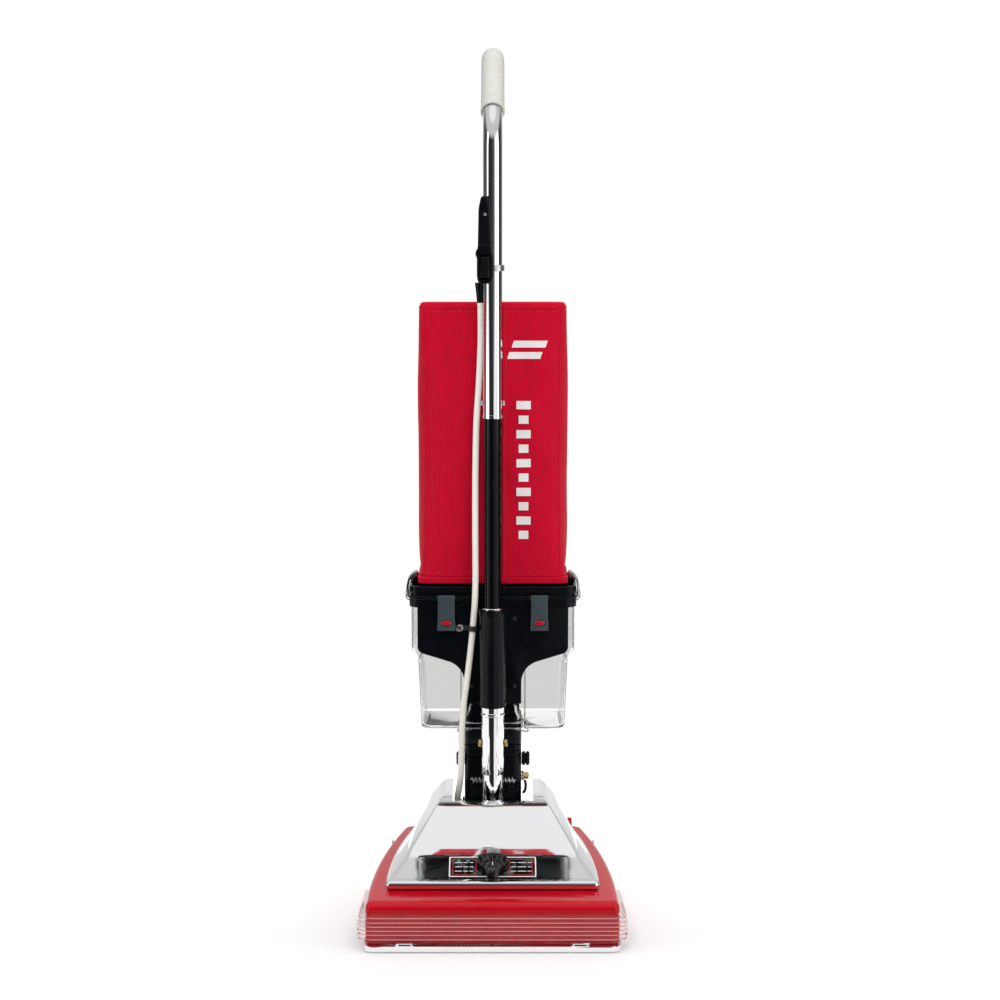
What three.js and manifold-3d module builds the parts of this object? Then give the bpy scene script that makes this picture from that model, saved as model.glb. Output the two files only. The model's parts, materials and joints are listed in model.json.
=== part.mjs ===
// Commercial upright vacuum cleaner, in millimetres, +Z up, front towards -Y.
// Everything is laid out from the front of the furniture guard (y = 0) and then
// moved back as one, so that the origin is on the floor under the middle of the box.
import * as THREE from 'three';
import { mergeVertices } from 'three/addons/utils/BufferGeometryUtils.js';
import Module from 'manifold-3d';

const wasm = await Module();
wasm.setup();

// ---------------------------------------------------------------- driving dimensions
const GAP = 0.3; // clearance left between pieces that touch
const ORIGIN_FROM_FRONT = 181.05; // floor point under the middle of the whole box

// nozzle base: wide at the front, with sides that curve in towards the rear
const base = {
  front: 12, rear: 320, halfFront: 162.3, halfRear: 122, bow: 2.2,
  deckFront: 64, deckRear: 84, nozzleBottom: 9.3, skirtBottom: 22, wall: 3,
};
const guard = { back: 118, bottom: 14, top: 50, bulge: 11.5 };
const plate = { bottom: 2, top: 9, back: 112, slotFront: 28, slotBack: 72, slotHalf: 136 };

// handle pivot, on an axis along X inside the rear of the base
const pivot = { y: 262, z: 92 };
const notch = { half: 53, front: 228, floor: 60 };
const hoodSlot = { half: 54, front: 184, stepBack: 224, stepZ: 110 };
// the shallow front of the hood rises from its lip to a fold; the knob stands nearly upright in it
const hoodFront = { y: 62, z: 80.2, foldY: 105, foldZ: 97.6 };
const heightKnobAt = { y: 75.5, tilt: 0.14 };

// motor with an upright shaft under the hood
const motor = { y: 180, stator: 42, bore: 24.5, fanRadius: 60, shaft: 4 };
const brush = { y: 50, z: 26, core: 13, tip: 23, half: 136, pulley: 13 };

// wheels
const rearWheel = { y: 282, radius: 32, inner: 72, outer: 92 };
const frontWheel = { y: 140, radius: 19, inner: 82, outer: 98 };
const carriage = { y: 112, z: 52, rod: 4, arm: 66 };

// handle, upright, its tube axis in front of the cup and bag
const tube = { y: 215, lower: 11.6, upper: 12.7, wall: 1.5, seam: 664, bendStart: 1014, bendRadius: 60 };
const bendAngle = THREE.MathUtils.degToRad(55);
const grip = { radius: 15.5, length: 138 };
const socket = { radius: 15.4, bottom: 183, top: 275, bolt: 225 };
const stemRadius = 13.8;

// dust cup and its frame
const frame = { front: 228, back: 352, half: 112.7, rimBottom: 407, rimTop: 436, panelHalf: 101.5 };
const neck = { half: 38.4, front: 230, back: 288, bottom: 275 };
const cup = {
  front: 240, back: 352, collarHalf: 110, bodyHalf: 101, bottomHalf: 97, top: 406.6, bottom: 238,
};
const duct = { half: 38.7, front: 240, back: 290, bottom: 128, top: 274.7 };
const bag = { front: 237, wall: 4 };
const latch = { x: 62.5, width: 24, top: 425, bottom: 377, pinY: 222.4, pinZ: 420.6 };

// power lead from the switch housing down the left side of the handle
const leadRadius = 4.25;
const leadRoute = [
  [-17.4, 226, 841.6], [-16.4, 226.2, 822], [-15.8, 226.3, 790], [-16.2, 226, 755], [-18.6, 224.5, 705],
  [-21.4, 222, 662], [-22.8, 219.5, 610], [-23.3, 217.6, 553], [-23.2, 216.4, 495], [-23.2, 216, 445],
  [-24.4, 218.2, 412], [-26.8, 223.4, 381], [-30, 223.6, 349], [-34.9, 224, 308], [-39.6, 225, 274],
  [-41.6, 226.5, 240], [-42.8, 228.4, 205], [-43.8, 231.4, 176], [-46.4, 238.6, 154], [-48.4, 247, 141.4],
  [-47, 253.6, 134.4], [-44, 255.6, 133.6],
];
const clipHeight = 380;
const clipScrewX = -44.9;
const clipRing = { x: -26.9, y: 223.1, inner: leadRadius + 1.1, outer: 6.6 };

// ---------------------------------------------------------------- materials
const paint = (color, roughness, metalness = 0) =>
  new THREE.MeshStandardMaterial({ color, roughness, metalness });
const red = paint(0xb01020, 0.3);
const chrome = paint(0xd8dadc, 0.1, 1);
const steel = paint(0x9a9c9e, 0.35, 1);
const brass = paint(0xb79a55, 0.35, 1);
const black = paint(0x101113, 0.35);
const blackGloss = paint(0x0b0b0d, 0.12);
const slate = paint(0x2c3438, 0.6);
const vinyl = paint(0xc0606a, 0.3);
const clear = paint(0xd5d8d6, 0.15);
const cream = paint(0xeceae2, 0.45);
const redCloth = paint(0xb0101c, 0.85);
const rubber = paint(0x1c1c1e, 0.8);
const bristle = paint(0x2b2a28, 0.85);
const copper = paint(0xa5613a, 0.4, 1);

// ---------------------------------------------------------------- solids
function solid(geometry) {
  const plain = geometry.index ? geometry : mergeVertices(geometry, 1e-3);
  plain.deleteAttribute('normal');
  plain.deleteAttribute('uv');
  const merged = mergeVertices(plain, 1e-3);
  return new wasm.Manifold(new wasm.Mesh({
    numProp: 3,
    vertProperties: new Float32Array(merged.attributes.position.array),
    triVerts: new Uint32Array(merged.index.array),
  }));
}

function geometryOf(manifold) {
  const mesh = manifold.getMesh();
  const geometry = new THREE.BufferGeometry();
  geometry.setAttribute('position', new THREE.BufferAttribute(mesh.vertProperties, 3));
  geometry.setIndex(new THREE.BufferAttribute(mesh.triVerts, 1));
  geometry.computeVertexNormals();
  return geometry;
}

const join = (...parts) => parts.reduce((sum, part) => sum.add(part));
const cut = (body, ...tools) => tools.reduce((rest, tool) => rest.subtract(tool), body);
const sides = (make) => [-1, 1].map(make);
const bothSides = (make) => join(...sides(make));
const named = [['left', -1], ['right', 1]];
// the same stretch of x on either side
const span = (side, near, far) => (side > 0 ? [near, far] : [-far, -near]);

function box(x0, x1, y0, y1, z0, z1) {
  const geometry = new THREE.BoxGeometry(x1 - x0, y1 - y0, z1 - z0);
  return solid(geometry.translate((x0 + x1) / 2, (y0 + y1) / 2, (z0 + z1) / 2));
}

// extrusions and rods run along x, y or z; the other two coordinates come in x, y, z order
const unit = { x: new THREE.Vector3(1, 0, 0), y: new THREE.Vector3(0, 1, 0), z: new THREE.Vector3(0, 0, 1) };
const alongAxis = {
  x: new THREE.Matrix4().makeBasis(unit.y, unit.z, unit.x),
  y: new THREE.Matrix4().makeBasis(unit.z, unit.x, unit.y),
  z: new THREE.Matrix4(),
};

function prism(axis, outline, from, to) {
  const points = outline.map(([a, b]) => (axis === 'y' ? new THREE.Vector2(b, a) : new THREE.Vector2(a, b)));
  const options = { depth: to - from, bevelEnabled: false };
  const geometry = new THREE.ExtrudeGeometry(new THREE.Shape(points), options);
  return solid(geometry.translate(0, 0, from).applyMatrix4(alongAxis[axis]));
}

const circle = (radius, count, [a, b] = [0, 0]) => Array.from({ length: count }, (_, i) => {
  const angle = (i / count) * 2 * Math.PI;
  return [a + radius * Math.cos(angle), b + radius * Math.sin(angle)];
});

const rod = (axis, radius, from, to, centre, count = 16) =>
  prism(axis, circle(radius, count, centre), from, to);
const pipe = (axis, outer, inner, from, to, centre, count = 16) =>
  cut(rod(axis, outer, from, to, centre, count), rod(axis, inner, from - 1, to + 1, centre, count));

// a turned piece: profile of [radius, height] from axis to axis, standing on +Z
const turned = (profile, count = 18) => {
  const geometry = new THREE.LatheGeometry(profile.map(([r, h]) => new THREE.Vector2(r, h)), count);
  return geometry.rotateX(Math.PI / 2);
};

// convex rings of [x, y, z], counter-clockwise seen from above, lowest ring first
function loft(rings) {
  const count = rings[0].length;
  const index = [];
  for (let k = 0; k + 1 < rings.length; k += 1) {
    for (let i = 0; i < count; i += 1) {
      const a = k * count + i;
      const b = k * count + ((i + 1) % count);
      index.push(a, b, b + count, a, b + count, a + count);
    }
  }
  const last = (rings.length - 1) * count;
  for (let i = 1; i + 1 < count; i += 1) {
    index.push(0, i + 1, i, last, last + i, last + i + 1);
  }
  const geometry = new THREE.BufferGeometry();
  geometry.setAttribute('position', new THREE.Float32BufferAttribute(rings.flat(2), 3));
  geometry.setIndex(index);
  return solid(geometry);
}

// polygon with each corner rounded by a short curve; radius may be one number or one per corner
function rounded(corners, radius, steps = 3) {
  return corners.flatMap(([x, y], i) => {
    const before = corners[(i + corners.length - 1) % corners.length];
    const after = corners[(i + 1) % corners.length];
    const wanted = Array.isArray(radius) ? radius[i] : radius;
    if (wanted === 0) return [[x, y]];
    const corner = new THREE.Vector2(x, y);
    const toBefore = new THREE.Vector2(...before).sub(corner);
    const toAfter = new THREE.Vector2(...after).sub(corner);
    const r = Math.min(wanted, 0.45 * toBefore.length(), 0.45 * toAfter.length());
    const start = toBefore.setLength(r).add(corner);
    const end = toAfter.setLength(r).add(corner);
    return new THREE.QuadraticBezierCurve(start, corner, end).getPoints(steps).map((p) => [p.x, p.y]);
  });
}

const rectangle = (half, front, back, radius, steps) =>
  rounded([[-half, front], [half, front], [half, back], [-half, back]], radius, steps);

const atHeight = (outline, z) => outline.map(([x, y]) => [x, y, typeof z === 'function' ? z(y) : z]);

// ring of a round bar whose axis lies in the YZ plane, tilted back from upright
const barRing = (radius, y, z, tilt, count = 18) => circle(radius, count).map(([a, b]) => [
  a, y + b * Math.cos(tilt), z - b * Math.sin(tilt),
]);

const root = new THREE.Group();
root.position.y = -ORIGIN_FROM_FRONT;

function add(name, shape, material) {
  const mesh = new THREE.Mesh(shape.getMesh ? geometryOf(shape) : shape, material);
  mesh.name = name;
  root.add(mesh);
}

// ---------------------------------------------------------------- base
const deckSlope = (base.deckRear - base.deckFront) / (base.rear - base.front);
const deck = (y) => base.deckFront + deckSlope * (y - base.front);
const halfWidth = (y) => {
  const share = Math.max(0, y - base.front) / (base.rear - base.front);
  return base.halfFront - (base.halfFront - base.halfRear) * share ** base.bow;
};

// outline with straight ends and curved sides; halfAt gives half its width at each y
function bowed(front, back, halfAt, radius) {
  const right = [0, 0.2, 0.4, 0.58, 0.74, 0.88, 1].map((share) => {
    const y = front + share * (back - front);
    return [halfAt(y), y];
  });
  const left = right.map(([x, y]) => [-x, y]).reverse();
  const radii = right.map(([, y]) => (y === front || y === back ? radius : 0));
  return rounded([...right, ...left], [...radii, ...radii.reverse()]);
}

const baseOutline = (inset, radius) =>
  bowed(base.front + inset, base.rear - inset, (y) => halfWidth(y) - inset, radius);

function baseShell() {
  const below = (drop) => (y) => deck(y) - drop;
  const outside = loft([
    atHeight(baseOutline(1, 15), base.nozzleBottom), atHeight(baseOutline(0, 16), 15),
    atHeight(baseOutline(0, 16), below(9)), atHeight(baseOutline(1, 16), below(4.5)),
    atHeight(baseOutline(4, 16), below(1.2)), atHeight(baseOutline(8, 16), below(0)),
  ]);
  const inside = loft([
    atHeight(baseOutline(base.wall, 14), 0), atHeight(baseOutline(base.wall, 14), below(11)),
    atHeight(baseOutline(9, 12), below(base.wall)),
  ]);
  return cut(
    outside, inside,
    box(-200, 200, 118, 400, 0, base.skirtBottom), // the rear skirt stops higher than the nozzle
    rod('z', motor.stator + 4, 50, 120, [0, motor.y], 20), // motor opening in the deck
    box(-notch.half, notch.half, notch.front, 400, notch.floor, 120), // notch for the handle
    box(96, 111, 300, 400, 50, 78), // slot for the release pedal
    rod('z', 7, 50, 100, [0, 78], 16), // height knob shaft
  );
}

function furnitureGuard() {
  const ribs = 6;
  const pitch = (guard.top - guard.bottom) / ribs;
  const outline = (out) => {
    const front = base.front - out;
    const corner = halfWidth(front) + out;
    const back = halfWidth(guard.back);
    return rounded([
      [-corner, front], [corner, front], [back + out, guard.back], [-back - out, guard.back],
    ], [17, 17, 0.5, 0.5]);
  };
  const rings = [atHeight(outline(4), guard.bottom)];
  for (let i = 0; i < ribs; i += 1) {
    const z = guard.bottom + i * pitch;
    const swell = guard.bulge * (0.72 + 0.28 * Math.sin((Math.PI * (i + 1.3)) / (ribs + 0.6)));
    rings.push(atHeight(outline(swell), z + 0.3 * pitch), atHeight(outline(swell), z + 0.75 * pitch));
    rings.push(atHeight(outline(swell - 1.4), z + pitch));
  }
  const inside = loft([atHeight(baseOutline(-GAP, 16), 0), atHeight(baseOutline(-GAP, 16), 60)]);
  return cut(loft(rings), inside);
}

function bottomPlate() {
  const outline = rounded([
    [-165, 4], [165, 4], [halfWidth(plate.back) - 1, plate.back], [1 - halfWidth(plate.back), plate.back],
  ], [14, 14, 2, 2]);
  const sheet = prism('z', outline, plate.bottom + 4, plate.top);
  const lipHalf = halfWidth(plate.back) - 6;
  const lipBack = plate.back + 5;
  const lipInside = rounded([[-160, 9], [160, 9], [lipHalf, lipBack], [-lipHalf, lipBack]], 10);
  const lip = cut(
    prism('z', outline, plate.bottom, plate.top),
    prism('z', lipInside, 0, 6.1),
  );
  const slot = box(-plate.slotHalf, plate.slotHalf, plate.slotFront, plate.slotBack, 0, 20);
  const barAt = (x) => box(x - 1.2, x + 1.2, plate.slotFront - 1, plate.slotBack + 1, 2.4, 6);
  const bars = [-90, -45, 45, 90].map(barAt);
  const barGap = cut(join(...bars), rod('x', brush.tip + 1.2, -200, 200, [brush.y, brush.z], 28));
  const tabs = sides((s) => cut(
    box(s * 112 - 11.5, s * 112 + 11.5, 4, 6, 8.5, 13.6),
    box(s * 112 - 8, s * 112 + 8, 0, 10, 9.6, 12),
  ));
  const holes = sides((s) => rod('z', 3.4, 0, 20, [s * 118, 100], 14));
  return cut(join(cut(join(sheet, lip), slot), barGap, ...tabs), ...holes);
}

// hood levels from the rolled rim to the top: [front y, rear y, front half, rear half, front z, rear z]
const hoodLevels = [
  [56, 316, 137, 99, 69.6, 86.4], [54.6, 317, 138.4, 100, 74, 90], [56.4, 316, 137, 99, 78.6, 93],
  [hoodFront.y, 311, 133, 96, hoodFront.z, 95], [hoodFront.foldY, 305, 113, 92, hoodFront.foldZ, 113],
  [112, 303.5, 110.5, 91, 101.2, 118], [121, 302, 106.5, 89, 106.8, 124], [147, 300, 91, 84, 128, 135],
  [173, 297, 76, 76, 149.3, 145], [180, 294, 72, 72, 152.6, 151], [226, 286, 64, 64, 159.5, 158.5],
];

const hoodRing = ([front, back, halfA, halfB, zA, zB], inset, drop) => {
  const share = (y) => (y - front) / (back - front);
  const halfAt = (y) => halfA - (halfA - halfB) * share(y) ** 2 - inset;
  return atHeight(bowed(front + inset, back - inset, halfAt, 14), (y) => zA + (zB - zA) * share(y) - drop);
};

// the handle comes down into a stepped slot, open at the rear
const slotTool = (grow) => prism('x', [
  [hoodSlot.front - grow, 200], [hoodSlot.front - grow, hoodSlot.stepZ - grow],
  [hoodSlot.stepBack - grow, hoodSlot.stepZ - grow], [hoodSlot.stepBack - grow, 40], [400, 40], [400, 200],
], -hoodSlot.half - grow, hoodSlot.half + grow);

const knobHole = () => rod('z', 13, 60, 110, [0, heightKnobAt.y], 36);

function motorHood() {
  const wall = 1.8;
  const outside = loft(hoodLevels.map((level) => hoodRing(level, 0, 0)));
  const inner = hoodLevels.slice(3).map((level) => hoodRing(level, wall, 1.9));
  const inside = loft([hoodRing(hoodLevels[0], 3.4, 12), hoodRing(hoodLevels[0], 3.4, -3), ...inner]);
  return cut(cut(outside, slotTool(0)), cut(inside, slotTool(wall)), knobHole());
}

function hoodGasket() {
  const lift = (y, up) => deck(y) + up;
  const ring = (inset, up) => hoodRing(hoodLevels[0], inset, 0).map(([x, y]) => [x, y, lift(y, up)]);
  const outer = loft([ring(1, 0.4), ring(1, 2.2)]);
  return cut(outer, loft([ring(6, -3), ring(6, 6)]), box(-hoodSlot.half, hoodSlot.half, 250, 400, 0, 200));
}

// the label plate lies on the shallow front of the hood
const hoodTilt = Math.atan2(hoodFront.foldZ - hoodFront.z, hoodFront.foldY - hoodFront.y);
const hoodHeight = (y) => hoodFront.z + (y - hoodFront.y) * Math.tan(hoodTilt);

function labelPlate() {
  const y = 84.3;
  const sheet = new THREE.BoxGeometry(113.6, 42, 1.2).translate(0, 0, 1.1);
  return cut(solid(sheet.rotateX(hoodTilt).translate(0, y, hoodHeight(y))), knobHole());
}

function heightKnob() {
  const profile = [
    [0, -20.5], [4, -20.5], [4, -6.4], [11.6, -6], [12, -5], [12.2, 1], [13.6, 6], [16.4, 11], [19.4, 15],
    [20.5, 17.2], [20.3, 18.6], [19.2, 19], [17.2, 17], [14.8, 14.2], [0, 13.4],
  ];
  const { y, tilt } = heightKnobAt;
  return turned(profile).rotateX(tilt).translate(0, y, hoodHeight(y));
}

function motorUnit() {
  const axis = [0, motor.y];
  const onAxis = (radius, from, to, count) => rod('z', radius, from, to, axis, count);
  const eye = onAxis(24, 30, 37, 18);
  const outlet = box(-22, 22, motor.y, 275, 36, 52.4);
  const outletInside = box(-20, 20, motor.y, 273, 38, 50.4);
  const shell = join(onAxis(motor.fanRadius, 34, 54, 24), outlet);
  const chamber = join(onAxis(motor.fanRadius - 2, 36, 52, 24), outletInside);
  const upHole = box(-17, 17, 252, 272, 49, 60); // the fan blows up through it into the duct
  add('fan_housing', cut(shell, chamber, eye, onAxis(7, 50, 60, 16), upHole), black);
  add('motor_stator', pipe('z', motor.stator, motor.bore, 55, 86, axis, 20), copper);
  const cover = join(onAxis(motor.stator, 86.4, 91, 20), onAxis(26, 90, 103, 18));
  const pocket = join(onAxis(22, 80, 98, 18), onAxis(5, 90, 110, 16));
  const brushSlots = sides((s) => box(...span(s, 20, 30), motor.y - 4.6, motor.y + 4.6, 92, 97));
  add('motor_end_bell', cut(cover, pocket, ...brushSlots), black);
  const holder = (s) => box(...span(s, 17.5, 34), motor.y - 4.2, motor.y + 4.2, 92.4, 96.6);
  add('brush_carrier', join(pipe('z', 21, 17.5, 92.4, 94.4, axis, 18), bothSides(holder)), brass);
  const pulley = [onAxis(10, 12.4, 16, 20), onAxis(8, 15, 25, 20), onAxis(10, 24, 27, 20)];
  add('motor_shaft', join(onAxis(motor.shaft, 12, 106, 16), ...pulley), steel);
  const onShaft = onAxis(motor.shaft + GAP, 0, 120, 16);
  add('armature', cut(join(onAxis(23, 58, 84, 18), onAxis(14, 80, 96, 20)), onShaft), copper);
  const vanes = Array.from({ length: 6 }, (_, i) => {
    const vane = new THREE.BoxGeometry(42, 2, 9).translate(31, 0, 43);
    return solid(vane.rotateZ((i * Math.PI) / 3).translate(0, motor.y, 0));
  });
  const disc = join(onAxis(54, 47, 49, 20), onAxis(12, 38, 49, 20));
  add('fan_impeller', cut(join(disc, ...vanes), onShaft), steel);
}

function brushRoll() {
  const centre = [brush.y, brush.z];
  const core = join(
    rod('x', brush.core, -brush.half, brush.half, centre, 20),
    rod('x', 4, -148, 148, centre, 14),
    ...sides((s) => rod('x', 15.5, ...span(s, 5, 8), centre, 20)),
  );
  const strips = [];
  const pieces = 4;
  for (const side of [-1, 1]) {
    for (const start of [0, Math.PI]) {
      const length = (brush.half - 16) / pieces;
      for (let i = 0; i < pieces; i += 1) {
        const foot = brush.core - 1.5;
        const tuft = new THREE.BoxGeometry(length - 1.4, 3, brush.tip - foot);
        tuft.translate(0, 0, (brush.tip + foot) / 2);
        tuft.rotateX(start + side * i * 0.36);
        strips.push(solid(tuft.translate(side * (14 + (i + 0.5) * length), brush.y, brush.z)));
      }
    }
  }
  add('brush_roll', join(core, ...strips), bristle);
  for (const [side, s] of named) {
    const block = box(...span(s, 139.5, 150), 36, 64, 10.5, 42);
    add(`bearing_block_${side}`, cut(block, rod('x', 4.6, ...span(s, 130, 148.6), centre, 14)), black);
  }
}

class BeltPath extends THREE.Curve {
  // a round belt with a quarter turn: flat round the upright shaft, upright round the brush roll
  getPoint(t, target = new THREE.Vector3()) {
    const reach = motor.y - brush.y;
    const small = 8 + 2.6;
    const large = brush.pulley + 2.6;
    const straight = reach;
    const lengths = [Math.PI * small, straight, Math.PI * large, straight];
    const total = lengths.reduce((a, b) => a + b);
    let s = (((t % 1) + 1) % 1) * total;
    if (s < lengths[0]) {
      const a = (s / lengths[0]) * Math.PI;
      return target.set(small * Math.cos(a), motor.y + small * Math.sin(a), 20);
    }
    s -= lengths[0];
    if (s < lengths[1]) {
      const k = s / straight;
      return target.set(-small * (1 - k), motor.y - reach * k, 20 + (brush.z + large - 20) * k);
    }
    s -= lengths[1];
    if (s < lengths[2]) {
      const a = (s / lengths[2]) * Math.PI;
      return target.set(0, brush.y - large * Math.sin(a), brush.z + large * Math.cos(a));
    }
    const k = (s - lengths[2]) / straight;
    return target.set(small * k, brush.y + reach * k, brush.z - large + (20 - brush.z + large) * k);
  }
}

function driveBelt() {
  const section = new THREE.Shape(circle(2, 6).map(([a, b]) => new THREE.Vector2(a, b)));
  const lap = 0.996; // the spliced ends stand a hair apart
  const path = new BeltPath();
  const points = Array.from({ length: 57 }, (_, i) => path.getPoint((i / 56) * lap));
  const curve = new THREE.CatmullRomCurve3(points);
  return new THREE.ExtrudeGeometry(section, { steps: 44, extrudePath: curve, bevelEnabled: false });
}

function underside() {
  const bracketFloor = cut(box(-51, 51, 243, 314, 53, 56), box(-17, 17, 251, 273, 40, 60));
  const posts = bothSides((s) => cut(
    prism('x', rounded([[248, 55], [276, 55], [276, 106], [248, 106]], 6), ...span(s, 45, 50.4)),
    rod('x', 5.4, ...span(s, 40, 60), [pivot.y, pivot.z], 16),
  ));
  add('trunnion_bracket', join(bracketFloor, posts), black);
  const pinHeads = sides((s) => rod('x', 6.6, ...span(s, 50.8, 52.4), [pivot.y, pivot.z], 16));
  add('pivot_pin', join(rod('x', 5, -52, 52, [pivot.y, pivot.z], 16), ...pinHeads), steel);
  add('rear_axle', rod('x', 4, -112, 112, [rearWheel.y, rearWheel.radius], 14), steel);
  for (const [side, s] of named) {
    add(`rear_wheel_${side}`, wheel(rearWheel, s, 4 + GAP, 24), rubber);
    add(`front_wheel_${side}`, wheel(frontWheel, s, 3 + GAP, 20), rubber);
    add(`plate_latch_${side}`, plateLatch(s * 118, 100), black);
  }
  add('front_carriage', frontCarriage(), steel);
  const lever = prism('x', [
    [296, 56], [304, 54], [330, 68], [342, 76], [343, 84],
    [335, 90], [324, 85], [322, 76], [300, 66], [294, 64],
  ], 97, 110);
  add('release_pedal', cut(lever, rod('x', 3.3, 80, 120, [300, 60], 12)), red);
  add('pedal_pin', rod('x', 3, 94, 113, [300, 60], 10), steel);
  for (const [side, s] of named) {
    const screwFoot = halfWidth(270) + 1.2;
    add(`side_screw_${side}`, rod('x', 4, ...span(s, screwFoot, screwFoot + 3), [270, 71], 12), steel);
  }
}

function plateLatch(x, y) {
  const leaf = rounded([[x - 16, y - 7], [x + 8, y - 7], [x + 8, y + 7], [x - 16, y + 7]], 3);
  const slot = box(x - 1, x + 1, y - 4, y + 4, 0, 3.8);
  return cut(join(prism('z', leaf, 3, 5.6), rod('z', 3, 3, 14, [x, y], 12)), slot);
}

// a bent-rod carriage: cross rod, two arms down to stub axles, and a tongue under the height knob
function frontCarriage() {
  const crossRod = rod('x', carriage.rod, -108, 108, [carriage.y, carriage.z], 14);
  const armShape = rounded([
    [carriage.y - 5, carriage.z - 6], [frontWheel.y - 7, 13], [frontWheel.y + 5, 13], [frontWheel.y + 5, 25],
    [carriage.y + 5, carriage.z + 6], [carriage.y - 5, carriage.z + 6],
  ], 4);
  const arms = bothSides((s) => prism('x', armShape, ...span(s, carriage.arm, carriage.arm + 5)));
  const stub = (s) => rod('x', 3, ...span(s, carriage.arm + 1, 99.5), [frontWheel.y, frontWheel.radius], 12);
  const tongue = box(-8, 8, 78, carriage.y, carriage.z - 2, carriage.z + 1.5);
  return join(crossRod, arms, bothSides(stub), tongue);
}

function wheel({ y, radius, inner, outer }, s, bore, count) {
  const x0 = Math.min(s * inner, s * outer);
  const x1 = Math.max(s * inner, s * outer);
  const tread = rod('x', radius, x0 + 1.5, x1 - 1.5, [y, radius], count);
  const tyre = join(tread, rod('x', radius - 1.5, x0, x1, [y, radius], count));
  return cut(tyre, rod('x', bore, x0 - 1, x1 + 1, [y, radius], 14));
}

// ---------------------------------------------------------------- handle
function bail() {
  const arms = bothSides((s) => {
    const from = Math.min(s * 38, s * 42);
    const plateShape = rounded([
      [207, 128], [223, 128], [253.4, 87], [270, 84], [272, 98], [222, 141], [207, 141],
    ], [3, 2, 5, 7, 7, 3, 3]);
    return cut(prism('x', plateShape, from, from + 4), rod('x', 5 + GAP, -60, 60, [pivot.y, pivot.z], 16));
  });
  const crossbar = box(-40, 40, 207, 223, 128, 141);
  const stem = rod('z', stemRadius, 128, 240, [0, tube.y], 18);
  const hollow = rod('z', stemRadius - 2, 150, 245, [0, tube.y], 20);
  return cut(join(arms, crossbar, stem), hollow, rod('x', 3.3, -30, 30, [tube.y, socket.bolt], 14));
}

function handleTubes() {
  add('handle_bail', bail(), chrome);
  const bead = rod('z', socket.radius + 0.9, 263.5, 266.5, [0, tube.y], 18);
  const sleeve = join(rod('z', socket.radius, socket.bottom, socket.top, [0, tube.y], 18), bead);
  const bolt = rod('x', 3.3, -30, 30, [tube.y, socket.bolt], 14);
  add('handle_socket', cut(sleeve, rod('z', stemRadius + GAP, 170, 290, [0, tube.y], 18), bolt), chrome);
  const nut = (s) => rod('x', 5.4, ...span(s, 15.8, 19.6), [tube.y, socket.bolt], 6);
  add('socket_bolt', join(rod('x', 3, -17, 17, [tube.y, socket.bolt], 12), ...sides(nut)), brass);

  const joint = rod('x', 2.4, -30, 30, [tube.y, 684], 12);
  const lower = pipe('z', tube.lower, tube.lower - tube.wall, 243, 702, [0, tube.y], 18);
  add('lower_tube', cut(lower, joint), blackGloss);
  const inside = upperTube(tube.lower + GAP, tube.seam - 1, 126);
  add('upper_tube', cut(upperTube(tube.upper, tube.seam, 124), inside, joint), chrome);
  const head = (s) => rod('x', 3.6, ...span(s, 13.1, 15.4), [tube.y, 684], 12);
  add('tube_bolt', join(rod('x', 2, -15.4, 15.4, [tube.y, 684], 12), bothSides(head)), steel);

  const gripProfile = [
    [0, 128], [13, 128], [13, 0], [15, 0], [grip.radius, 2], [grip.radius, 126], [14.8, 132], [12, 136.4],
    [6.5, grip.length], [6, grip.length + 2.4], [0, grip.length + 3],
  ];
  const end = bendEnd();
  add('handle_grip', turned(gripProfile).rotateX(-bendAngle).translate(0, end.y + 2.4, end.z + 1.7), cream);
}

const bendEnd = () => ({
  y: tube.y + tube.bendRadius * (1 - Math.cos(bendAngle)),
  z: tube.bendStart + tube.bendRadius * Math.sin(bendAngle),
});

function upperTube(radius, bottom, run) {
  const rings = [barRing(radius, tube.y, bottom, 0)];
  const steps = 6;
  for (let i = 0; i <= steps; i += 1) {
    const a = (bendAngle * i) / steps;
    const y = tube.y + tube.bendRadius * (1 - Math.cos(a));
    rings.push(barRing(radius, y, tube.bendStart + tube.bendRadius * Math.sin(a), a));
  }
  const end = bendEnd();
  const last = { y: end.y + run * Math.sin(bendAngle), z: end.z + run * Math.cos(bendAngle) };
  rings.push(barRing(radius, last.y, last.z, bendAngle));
  return loft(rings);
}

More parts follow.
